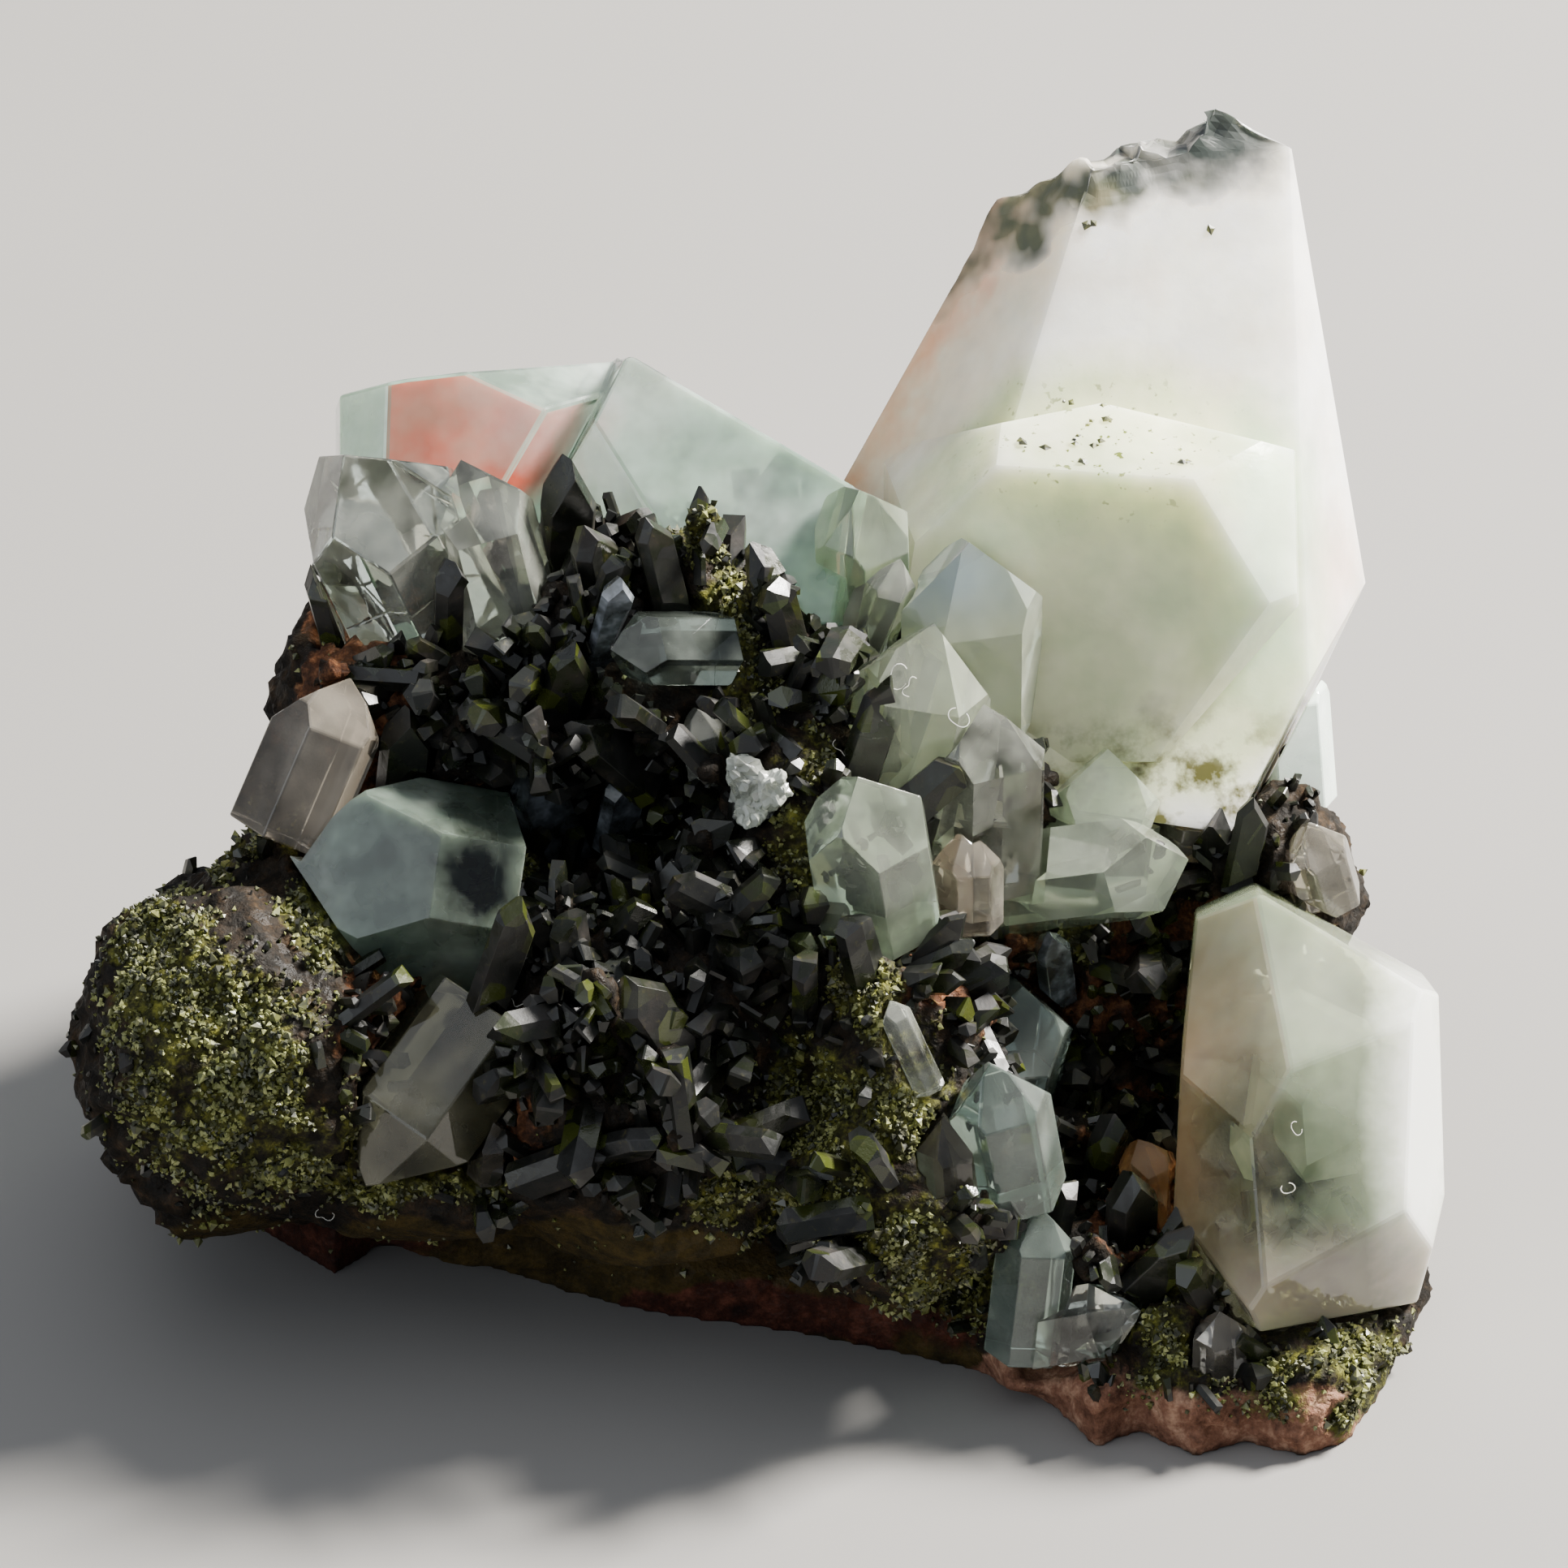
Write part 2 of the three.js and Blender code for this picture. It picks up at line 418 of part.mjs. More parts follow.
// Smaller epidote crystals, fused to the rock that they grow from
const ROOTED = [
  { from: [-18.2, 3.4], to: [-18.5, 5.1], rise: 2.2, width: 2, roll: 45 },
  { from: [-16.2, -10], to: [-16.2, -7.9], rise: 1.8, width: 1.7, roll: 20 },
  { from: [-12.3, 7.6], to: [-12.2, 10], rise: 2.4, width: 1.4, roll: 15, depth: 0.8 },
  { from: [-11.4, 0.8], to: [-11, 2.6], rise: 1.6, width: 1.3, roll: 45 },
  { from: [-10.8, 4.8], to: [-11, 6.5], rise: 1.9, width: 1.2, roll: 10 },
  { from: [-9.6, -11.8], to: [-9.9, -9.6], rise: 1.8, width: 1.7, roll: 20 },
  { from: [-5.6, 1.3], to: [-5.4, 3], rise: 1.8, width: 1.4, roll: 15 },
  { from: [-4.3, -12.8], to: [-4.8, -10.6], rise: 1.8, width: 1.5, roll: 15 },
  { from: [-3.3, 9.6], to: [-3.3, 11.5], rise: 1.6, width: 1.4, roll: 10 },
  { from: [-2.6, -3.6], to: [-3.4, -1.8], rise: 1.8, width: 1.5, roll: 35 },
  { from: [-1.8, -7.2], to: [-3, -4.5], rise: 1.4, width: 1.1, roll: 30 },
  { from: [-1.2, 7], to: [-0.6, 8.8], rise: 1.8, width: 1.5, roll: 25 },
  { from: [9.8, -7.5], to: [9.2, -5.3], rise: 1.8, width: 1.2, roll: 15 },
  { from: [12.4, -20.7], to: [13, -18.5], rise: 2, width: 2.1, roll: 20 },
];

// Small epidote crystals strewn over the rock: how many, and the patch of the face that they cover
const PATCHES = [
  { count: 4, low: [-14, 0], high: [2, 8], size: [1.5, 2.1] }, // crown
  { count: 3, low: [-11, -16], high: [0, -5], size: [1.5, 2.1] }, // dark face
  { count: 1, low: [8, -20], high: [14, -7], size: [1.3, 1.8] }, // valley
];

function smallEpidotes() {
  const found = ROOTED.map((crystal) => planeSolid(epidotePlanes(planted(crystal))));
  for (const { count, low, high, size } of PATCHES) {
    for (let i = 0; i < count; i++) {
      const hit = onRock([draw(low[0], high[0]), draw(low[1], high[1])]);
      const spread = new THREE.Vector3(draw(-0.7, 0.7), draw(-0.4, 1), draw(0, 0.5));
      const along = hit.face.normal.clone().add(spread).normalize();
      const width = draw(...size);
      const root = hit.point.clone().addScaledVector(along, -width);
      const tip = hit.point.clone().addScaledVector(along, width * draw(0.9, 1.7));
      found.push(planeSolid(epidotePlanes({ root, tip, width, roll: draw(0, 90) })));
    }
  }
  return found;
}

// Every free-standing crystal: its name, its colour and the planes of what has grown together in it
const crystals = [
  { name: 'quartz_tall', look: milky, members: [TALL, FRONT], bites: TALL_BITES },
  { name: 'quartz_right_block', look: milky, members: [RIGHT] },
  { name: 'quartz_left_ridge', look: milky, members: [LEFT_LYING, LEFT_MILKY] },
];
for (const [name, members] of Object.entries(QUARTZ)) {
  const look = /smoky|green/.test(name) ? smoky : milky;
  crystals.push({ name, look, members: members.map((m) => quartzPlanes(planted(m))) });
}
for (const [name, members] of Object.entries(EPIDOTE)) {
  crystals.push({ name, look: darkGreen, members: members.map((m) => epidotePlanes(planted(m))) });
}

// A crystal keeps its gap to those placed before it, and the rock opens a socket for each
const placed = [];
let matrix = smallEpidotes().reduce((sum, small) => sum.add(small), rock);
for (const { name, look, members, bites = [] } of crystals) {
  const whole = members.map((planes) => planeSolid(planes)).reduce((sum, solid) => sum.add(solid));
  const grown = members.map((planes) => planeSolid(planes, GAP)).reduce((sum, solid) => sum.add(solid));
  const bitten = bites.reduce((rest, { centre, radii }) => rest.subtract(lump(centre, radii)), whole);
  const clear = placed.reduce((rest, before) => rest.subtract(before.grown), bitten);
  placed.push({ name, look, solid: largest(clear), grown });
  matrix = matrix.subtract(grown);
}
matrix = largest(matrix.subtract(belowTheSurface()));

// Each piece's geometry is kept round its own middle, and its place is the mesh's position
function addPiece(name, look, solid) {
  const geometry = geometryOf(solid);
  geometry.computeBoundingBox();
  const middle = geometry.boundingBox.getCenter(new THREE.Vector3());
  const piece = new THREE.Mesh(
    geometry.translate(...middle.clone().negate().toArray()),
    new THREE.MeshStandardMaterial({ ...look, flatShading: true }),
  );
  piece.name = name;
  piece.position.copy(middle);
  face.add(piece);
}

addPiece('matrix', crusted, matrix);
placed.forEach(({ name, look, solid }) => addPiece(name, look, solid));

// The origin is under the middle of the specimen, on the surface that it stands on
const specimen = new THREE.Group();
specimen.add(face);
const middle = new THREE.Box3().setFromObject(specimen, true).getCenter(new THREE.Vector3());
specimen.position.set(-middle.x, -middle.y, 0);

export default specimen;
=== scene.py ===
import math
import random

import bmesh
import bpy
from mathutils import Matrix, Vector, noise
from mathutils.bvhtree import BVHTree


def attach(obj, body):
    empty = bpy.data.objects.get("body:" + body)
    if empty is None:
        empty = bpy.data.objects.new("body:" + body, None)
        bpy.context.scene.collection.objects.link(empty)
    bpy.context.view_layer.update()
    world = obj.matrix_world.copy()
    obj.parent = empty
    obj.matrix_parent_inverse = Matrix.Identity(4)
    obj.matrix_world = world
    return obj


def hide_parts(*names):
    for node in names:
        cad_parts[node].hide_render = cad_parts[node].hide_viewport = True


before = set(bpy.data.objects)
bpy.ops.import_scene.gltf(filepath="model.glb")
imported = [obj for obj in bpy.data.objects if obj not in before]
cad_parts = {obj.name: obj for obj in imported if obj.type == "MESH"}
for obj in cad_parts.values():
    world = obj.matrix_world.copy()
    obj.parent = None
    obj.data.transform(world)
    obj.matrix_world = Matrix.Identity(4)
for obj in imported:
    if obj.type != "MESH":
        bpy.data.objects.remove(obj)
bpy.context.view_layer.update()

# The rock
# Dark skarn broken off the wall of a pocket, its base sawn flat. Its skin is a crust of iron-stained epidote
# grains, with clay in the hollows, a smooth olive-brown strip under the brow whose dark colour is partly its
# own and partly painted shade from the brow above it, and thin ledges along the foot.
MM = 0.001
LEAN = math.radians(55)
FACE_MIDDLE = Vector((1.105, -3.916, 21.5)) * MM
SHOW_FACE = Matrix.Translation(FACE_MIDDLE) @ Matrix.Rotation(LEAN, 4, "X")
FROM_FACE = SHOW_FACE.inverted()
OUTWARD = SHOW_FACE.to_3x3() @ Vector((0, 0, 1))


def on_face(point):
    """A point of the frame, as millimetres across, up and out of the show face."""
    return (FROM_FACE @ point) / MM


def share(value):
    """value kept between 0 and 1."""
    return max(0.0, min(1.0, value))


def tone(code):
    """A colour written as six hex digits, as linear light."""
    parts = [int(code[i:i + 2], 16) / 255 for i in (0, 2, 4)]
    linear = [p / 12.92 if p <= 0.04045 else ((p + 0.055) / 1.055) ** 2.4 for p in parts]
    return (*linear, 1)


class Finish:
    """A material while it is being put together from its nodes."""

    def __init__(self, name, **shine):
        self.material = bpy.data.materials.new(name)
        self.material.use_nodes = True
        self.tree = self.material.node_tree
        self.skin = self.tree.nodes["Principled BSDF"]
        self.spot = self.add("ShaderNodeTexCoord").outputs["Object"]
        self.place = None
        self.wander = None
        for socket, value in shine.items():
            self.skin.inputs[socket.replace("_", " ")].default_value = value

    def add(self, kind, inputs=(), **settings):
        node = self.tree.nodes.new(kind)
        for key, value in settings.items():
            setattr(node, key, value)
        for key, value in dict(inputs).items():
            if isinstance(value, bpy.types.NodeSocket):
                self.tree.links.new(value, node.inputs[key])
            else:
                node.inputs[key].default_value = value
        return node

    def face_place(self):
        """Object coordinates turned to millimetres across, up and out of the show face."""
        if self.place is None:
            back = FROM_FACE.to_translation() / MM
            self.place = self.add("ShaderNodeMapping", {
                "Vector": self.spot, "Location": back, "Rotation": (-LEAN, 0, 0), "Scale": (1 / MM,) * 3,
            }).outputs[0]
        return self.place

    def noise(self, size, detail=3, roughness=0.6):
        """Cloudy noise whose features are size millimetres across, from 0 to 1."""
        return self.add("ShaderNodeTexNoise", {
            "Vector": self.spot, "Scale": 1 / (size * MM), "Detail": detail, "Roughness": roughness,
        }).outputs["Fac"]

    def grains(self, size):
        """Each grain of a crystalline crust, size millimetres across, with its own random value."""
        cells = self.add("ShaderNodeTexVoronoi", {"Vector": self.spot, "Scale": 1 / (size * MM)})
        return self.add("ShaderNodeSeparateColor", {"Color": cells.outputs["Color"]}).outputs[0]

    def between(self, value, low, high, least=0, most=1):
        """value brought from the range low to high into least to most."""
        return self.add("ShaderNodeMapRange", {
            "Value": value, "From Min": low, "From Max": high, "To Min": least, "To Max": most,
        }).outputs[0]

    def math(self, operation, a, b=0):
        return self.add("ShaderNodeMath", {0: a, 1: b}, operation=operation).outputs[0]

    def patch(self, centre, reach, soft=0.5, ragged=0.8):
        """1 inside a patch of the show face, in millimetres, and 0 outside, with a ragged border."""
        away = self.add("ShaderNodeVectorMath", {0: self.face_place(), 1: centre}, operation="SUBTRACT")
        shrunk = self.add("ShaderNodeVectorMath", {0: away.outputs[0], 1: reach}, operation="DIVIDE")
        length = self.add("ShaderNodeVectorMath", {0: shrunk.outputs[0]}, operation="LENGTH")
        if self.wander is None:
            self.wander = self.noise(1.6)
        border = self.between(self.wander, 0, 1, -ragged / 2, ragged / 2)
        return self.between(self.math("ADD", length.outputs["Value"], border), 1 + soft, 1 - soft)

    def facet(self, *normal):
        """1 on faces that look within 10 degrees of normal, on the show face, and 0 past 18 degrees."""
        way = (SHOW_FACE.to_3x3() @ Vector(normal)).normalized()
        flat = self.add("ShaderNodeNewGeometry").outputs["True Normal"]
        along = self.add("ShaderNodeVectorMath", {0: flat, 1: way}, operation="DOT_PRODUCT")
        return self.between(along.outputs["Value"], 0.95, 0.985)

    def stained(self, colour, mask, stain):
        """colour, going over to stain where mask is 1."""
        first, second, result = 6, 7, 2  # the Mix node's colour sockets
        mix = self.add("ShaderNodeMix", {0: mask, first: colour, second: stain}, data_type="RGBA")
        return mix.outputs[result]

    def ramp(self, value, *stops):
        """value turned into colour by (place, hex colour) stops."""
        node = self.add("ShaderNodeValToRGB", {0: value})
        elements = node.color_ramp.elements
        while len(elements) < len(stops):
            elements.new(0.5)
        for element, (place, code) in zip(elements, stops):
            element.position = place
            element.color = tone(code)
        return node.outputs[0]

    def relief(self, height, depth, strength=1.0):
        """A bump of depth millimetres."""
        node = self.add("ShaderNodeBump", {"Height": height, "Distance": depth * MM, "Strength": strength})
        return node.outputs[0]

    def wear(self, **links):
        """Links what was made to the skin's own sockets."""
        for socket, output in links.items():
            self.tree.links.new(output, self.skin.inputs[socket.replace("_", " ")])
        return self.material


# Where the olive crust lies thickest on the show face: across, up, and how far it reaches each way
OLIVE = [
    (-22.6, -12, 4.2, 4.6), (-25.4, -7.6, 2.4, 3), (-22.2, -2.1, 3, 1.5), (-18.9, -5.2, 1.6, 2.6),
    (-20, -14.8, 3, 2), (-2.2, 6.2, 1.2, 3.6), (-3.9, 10.2, 1.2, 0.9), (-1.2, 3.8, 1.3, 1.5),
    (0.4, 0.6, 1.8, 1.3), (1.3, -2.9, 1.8, 1.6), (3.5, -7, 1.4, 3.6), (4.7, -12.6, 1.9, 4.2),
    (5.6, -17.8, 2.4, 3), (1, -12.5, 2.4, 3), (5.6, -1.5, 1, 1.8), (15.8, -22.4, 2.2, 3),
    (22.8, -24.2, 4.2, 2.4), (8.8, -21, 1.6, 1.4), (3, 9, 1.2, 0.8), (-13.9, 9.2, 1.8, 1),
    (-9.6, 10, 1, 0.7), (-14.9, -16.3, 4.5, 1), (-11.5, -3.4, 1.6, 1), (0, -17, 3.4, 1.6),
    (21.5, 6, 1.4, 2.4), (12.6, -6.2, 1, 1), (2.2, -14.5, 2, 3), (7, -20.4, 2.4, 1.6),
]
# Where rusty clay shows in the hollows
CLAY = [
    (7.8, -7.8, 3.4, 2), (14.5, -7.6, 2, 3), (14.5, -16.1, 2.2, 3.4), (-15.4, -8.9, 2.6, 3),
    (-13.4, -14.4, 3.6, 2.4), (-17.4, 4.6, 2.2, 4.5), (-12.2, -1.3, 2.8, 1), (18, -7, 3, 2),
    (11, -9.5, 2.5, 2), (-16, -1, 1.6, 2),
]
# Where the thin ledges along the foot are stained red, and where they are peach
RED_LEDGES = [(-26.4, -15.4, 3, 2.6), (-19, -18.9, 4.6, 1.8), (-3, -22, 12, 1.2)]
PEACH_LEDGES = [(17, -26.2, 9, 1.6), (9, -24.4, 5, 1)]
PATCH_STRAY = 1.1  # how far the border of a patch wanders, in millimetres
LEDGE_TOP = 4.2  # the ledges' stain ends at this height
LEDGE_FADE = 1.8
SAWN = 0.25  # the sawn base keeps its shape up to this height
SETTLE = 0.8  # and the skin is at its roughest this much higher
HIGHEST = 0.6  # how far the skin may stand out of the CAD rock, and how far it may sink in
DEEPEST = 0.45


def cover(patches, spot):
    """How deep inside its nearest patch a spot lies: 1 at the middle, 0 at the border and beyond."""
    across = spot.x + PATCH_STRAY * noise.noise(spot * 0.45)
    up = spot.y + PATCH_STRAY * noise.noise(spot * 0.45 + Vector((9, 4, 2)))
    nearest = min(math.hypot((across - x) / rx, (up - y) / ry) for x, y, rx, ry in patches)
    return share((1.35 - nearest) / 0.7)


def clump(spot):
    """How the olive grains gather: 1 in the middle of a clump, 0 between clumps."""
    return share(0.68 + 1.7 * noise.fractal(spot * 0.5, 1.0, 2.0, 3))


def brow(across):
    """How far up the show face the smooth strip under the brow ends."""
    return -17.6 - 0.42 * max(0, across + 4) - 0.35 * math.sin(across * 0.9)


def facing(normal):
    """1 for skin that faces the viewer of the show face, and 0 for skin that faces away."""
    return share(0.5 + normal.dot(OUTWARD) * 1.6)


def merged(node):
    """A bmesh copy of a CAD node with its loose triangles joined."""
    bm = bmesh.new()
    bm.from_mesh(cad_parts[node].data)
    bmesh.ops.remove_doubles(bm, verts=bm.verts, dist=0.002 * MM)
    return bm


def made(name, bm, slot, *materials):
    """Ends a piece: its object, its finish and the body that it rides on."""
    mesh = bpy.data.meshes.new(name)
    bm.to_mesh(mesh)
    bm.free()
    for material in materials:
        mesh.materials.append(material)
    piece = bpy.data.objects.new(name, mesh)
    bpy.context.scene.collection.objects.link(piece)
    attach(piece, "root")
    return piece


ROCK_VOXEL = 0.33  # how fine the mesh of the rock is, in millimetres
rock = made("rock", merged("matrix"), "crusted_rock")
remesh = rock.modifiers.new("even grain", "REMESH")
remesh.mode = "VOXEL"
remesh.voxel_size = ROCK_VOXEL * MM
even = bpy.data.meshes.new_from_object(rock.evaluated_get(bpy.context.evaluated_depsgraph_get()))
rock.modifiers.clear()
rock.data = even

bm = bmesh.new()
bm.from_mesh(even)
bmesh.ops.smooth_vert(bm, verts=bm.verts, factor=0.5, use_axis_x=True, use_axis_y=True, use_axis_z=True)
bm.normal_update()
zones = {name: bm.verts.layers.float.new(name) for name in ("olive", "clay", "red", "peach", "strip_and_shade")}
for vert in bm.verts:
    spot = on_face(vert.co)
    height = vert.co.z / MM
    front = facing(vert.normal)
    below = share((brow(spot.x) - spot.y) / 0.8) * (1 if spot.x < 11 else 0.4)
    behind = 0.35 * (1 - front) * (noise.noise(spot * 0.25) > 0.1)
    olive = max(cover(OLIVE, spot) * front, behind)
    low = share((LEDGE_TOP - height) / LEDGE_FADE)
    vert[zones["olive"]] = olive * (1 - below) * (0.4 + 0.6 * clump(spot))
    vert[zones["clay"]] = cover(CLAY, spot) * front
    vert[zones["red"]] = cover(RED_LEDGES, spot) * low
    vert[zones["peach"]] = cover(PEACH_LEDGES, spot) * low
    vert[zones["strip_and_shade"]] = below
    if height < SAWN:
        continue
    coarse = noise.fractal(spot * 0.55, 1.0, 2.0, 2) * (0.5 - 0.3 * front)
    grain = noise.cell(spot * 1.1) * 0.1 + noise.fractal(spot * 1.5, 0.9, 2.0, 3) * 0.24
    knobs = (0.5 - noise.voronoi(spot * 1.25)[0][0]) * 0.5 * olive
    lift = (coarse + grain) * (1 - 0.75 * below) + knobs
    settled = share((height - SAWN) / SETTLE)
    vert.co += vert.normal * max(-DEEPEST, min(HIGHEST, lift)) * MM * settled
bm.normal_update()
bm.to_mesh(rock.data)
rock_skin = BVHTree.FromBMesh(bm)
rock_triangles = [(f.calc_center_median().copy(), f.normal.copy(), f.calc_area()) for f in bm.faces]
bm.free()
for polygon in rock.data.polygons:
    polygon.use_smooth = True

skarn = Finish("crusted skarn", Roughness=0.7, IOR=1.5, Specular_IOR_Level=0.15)
depth_in = {name: skarn.add("ShaderNodeAttribute", attribute_name=name).outputs["Fac"] for name in zones}
mottle = skarn.noise(1.1, 4, 0.7)
fine = skarn.noise(0.6, 3, 0.7)
dark = skarn.ramp(
    mottle, (0.25, "080706"), (0.45, "14110d"), (0.57, "211a12"), (0.68, "36291b"), (0.82, "5a4029"),
)
rusty = skarn.ramp(fine, (0.3, "1c110b"), (0.5, "472c1c"), (0.62, "6b452c"), (0.78, "8f6846"))
mossy = skarn.ramp(fine, (0.34, "17170b"), (0.48, "2f2f14"), (0.6, "505020"), (0.74, "77752f"))
# The strip under the brow: its own olive-brown, darkened further by painted shade from the brow above it.
strip_and_shade = skarn.ramp(mottle, (0.25, "19150b"), (0.45, "2c2410"), (0.6, "3f3317"), (0.78, "281c11"))
red = skarn.ramp(mottle, (0.3, "1a0c08"), (0.5, "351b12"), (0.7, "5c3427"))
peach = skarn.ramp(mottle, (0.3, "3b241a"), (0.5, "73503f"), (0.7, "a5846d"))
fray = skarn.between(fine, 0, 1, -0.35, 0.35)
colour = dark
for name, stain in (("strip_and_shade", strip_and_shade), ("clay", rusty), ("red", red), ("peach", peach), ("olive", mossy)):
    mask = skarn.between(skarn.math("ADD", depth_in[name], fray), 0.35, 0.65)
    colour = skarn.stained(colour, mask, stain)
grainy = skarn.math("ADD", skarn.noise(0.3, 2), skarn.math("MULTIPLY", skarn.grains(0.42), 0.5))
skarn.wear(
    Base_Color=colour,
    Roughness=skarn.between(skarn.grains(0.5), 0, 1, 0.55, 1),
    Normal=skarn.relief(grainy, 0.16, 0.9),
)
rock.data.materials.append(skarn.material)
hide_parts("matrix")

# The druse
# Small epidote crystals that grew on the rock in the same pocket, near black, each a flattened prism with a
# sloping roof. They stand thick on the crown, the dark face and the valley floor, but not inside the quartz.
SOCKET_GAP = 0.9  # skin that has a larger crystal this close in front of it lies in that crystal's socket
guests = bmesh.new()
for node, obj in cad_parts.items():
    if node != "matrix":
        guests.from_mesh(obj.data)
guest_skin = BVHTree.FromBMesh(guests)
guests.free()


def buried(point, away):
    """True where a point of the rock lies in the socket of a crystal, or inside the crystal."""
    start = point + away * 0.05 * MM
    hit, normal, _, distance = guest_skin.ray_cast(start, away, 60 * MM)
    inside = hit is not None and normal.dot(away) > 0
    socket = hit is not None and distance < SOCKET_GAP * MM
    return inside or socket


def strewn(rng, count, weight):
    """Random places on the rock's skin, thicker where weight, between 0 and 1, is larger."""
    places = []
    areas = []
    total = 0.0
    for centre, normal, area in rock_triangles:
        here = weight(on_face(centre), normal, centre.z)
        if here > 0:
            total += area * here
            places.append((centre, normal))
            areas.append(total)
    found = []
    for centre, normal in rng.choices(places, cum_weights=areas, k=count):
        aside = Vector([rng.uniform(-0.5, 0.5) * ROCK_VOXEL * MM for _ in range(3)])
        point = centre + aside - normal * aside.dot(normal)
        if not buried(point, normal):
            found.append((point, normal))
    return found


FLATNESS = 0.62  # how thick a small crystal is for its width
ROOT = 0.4  # how much of its width stands in the rock


def epidote_form(name, length, roof, skew):
    """One small epidote crystal, a millimetre wide, standing on its root."""
    bm = bmesh.new()
    bmesh.ops.create_cone(bm, cap_ends=True, segments=6, radius1=0.5, radius2=0.46, depth=length)
    bmesh.ops.scale(bm, vec=(1, FLATNESS, 1), verts=bm.verts)
    bmesh.ops.translate(bm, vec=(0, 0, length / 2 - ROOT), verts=bm.verts)
    top = length - ROOT
    for side in (1, -1):
        slope = Vector((side * math.sin(roof) + skew, 0.12 * side, math.cos(roof))).normalized()
        whole = bm.verts[:] + bm.edges[:] + bm.faces[:]
        cut = bmesh.ops.bisect_plane(
            bm, geom=whole, plane_co=(side * 0.04, 0, top), plane_no=slope, clear_outer=True,
        )
        rim = [e for e in cut["geom_cut"] if isinstance(e, bmesh.types.BMEdge)]
        bmesh.ops.holes_fill(bm, edges=rim)
    bmesh.ops.recalc_face_normals(bm, faces=bm.faces)
    mesh = bpy.data.meshes.new(name)
    bm.to_mesh(mesh)
    bm.free()
    return mesh


def grown_on(bm, form, point, axis, width, stretch, turn):
    """Adds one more copy of form to bm, standing on point along axis."""
    copy = form.copy()
    stand = axis.to_track_quat("Z", "Y").to_matrix().to_4x4()
    size = Matrix.Diagonal((width * MM, width * MM, width * stretch * MM, 1))
    copy.transform(Matrix.Translation(point) @ stand @ Matrix.Rotation(turn, 4, "Z") @ size)
    bm.from_mesh(copy)
    bpy.data.meshes.remove(copy)


DRUSE_SEED = 7
# Each form's length for a width of 1, the pitch of its roof, and how far the roof leans to one side
DRUSE_FORMS = [(1.7, 0.62, 0.0), (1.4, 0.9, 0.12), (2.1, 0.5, -0.1), (1.2, 1.05, 0.25), (1.5, 0.35, 0.5)]
# How many crystals, and their least and greatest width
DRUSE_SIZES = [(650, 1.2, 2.1), (1700, 0.7, 1.2), (2600, 0.35, 0.7)]
DRUSE_FOOT = 2.5  # none stands lower than this
STRAGGLERS = 0.03  # how thick they stand on the back and on the olive crust
# The crystals on the left lump and at the root of the tall quartz are smaller, by these factors
ON_LUMP = 0.4
AT_ROOT = 0.5


def on_left_lump(spot):
    """Whether a spot of the show face is on the round lump at its lower left."""
    return spot.x < -18 and spot.y < -3


def druse_weight(spot, normal, height):
    """How thick the small crystals stand."""
    past_right = spot.x > (22 if spot.y > -9 else 23.5)
    past_left = spot.x < -16.2 - 0.3 * spot.y and spot.y > -2
    under_brow = spot.y < brow(spot.x) + 0.4 and spot.x < 12
    if height < DRUSE_FOOT * MM or past_right or past_left or under_brow:
        return 0
    on_crown = spot.y > -1 and spot.x < 4
    thick = 1.0 if on_crown else (0.15 if on_left_lump(spot) else 0.75)
    return max(STRAGGLERS, facing(normal) * thick * (1 - 0.93 * cover(OLIVE, spot)))


rng = random.Random(DRUSE_SEED)
forms = [epidote_form(f"druse form {i}", *shape) for i, shape in enumerate(DRUSE_FORMS)]
bm = bmesh.new()
for count, least, most in DRUSE_SIZES:
    for point, normal in strewn(rng, count, druse_weight):
        spot = on_face(point)
        size = rng.uniform(least, most)
        if on_left_lump(spot):
            size *= ON_LUMP
        if spot.x > 18.5 and spot.y > -10:
            size *= AT_ROOT
        lean = Vector([rng.gauss(0, 0.5) for _ in range(3)]) + OUTWARD * 0.2 + Vector((0, 0, 0.2))
        axis = (normal + lean).normalized()
        grown_on(bm, rng.choice(forms), point, axis, size, rng.uniform(0.75, 1.3), rng.uniform(0, math.tau))
druse = made("druse", bm, "epidote")

epidote = Finish("epidote", IOR=1.74, Specular_IOR_Level=0.27)
crystals = epidote.grains(1.1)
smudges = epidote.noise(1.6)
shade = epidote.ramp(
    crystals, (0.0, "070807"), (0.45, "0d0f0a"), (0.7, "14170d"), (0.88, "1f2411"), (0.97, "333913"),
)
brownish = epidote.stained(shade, epidote.between(smudges, 0.52, 0.7, 0, 0.7), tone("1c140f"))
ribs = epidote.noise(0.4, 3, 0.75)
dusty = epidote.stained(brownish, epidote.between(ribs, 0.6, 0.75, 0, 0.5), tone("45421a"))
dull = epidote.between(crystals, 0.8, 0.2, 0, 0.25)
epidote.wear(
    Base_Color=dusty,
    Roughness=epidote.math("ADD", epidote.between(smudges, 0.35, 0.7, 0.12, 0.45), dull),
    Normal=epidote.relief(ribs, 0.03, 0.5),
)
druse.data.materials.append(epidote.material)

# The larger epidote crystals
# The same mineral, in crystals a few millimetres long that stand out one by one, rooted in the rock or in
# the quartz. Their edges are sharp, only a trifle worn. A few have glossy, coated faces and are painted a
# lighter blue-grey, a painted reflection that stands for the bright sheen of their faces.
EPIDOTE_WEAR = 0.05
ONE_FACE = math.radians(1.2)  # triangles that meet flatter than this belong to one face of a crystal
AN_EDGE = math.radians(8)  # and faces that meet more sharply than this make an edge


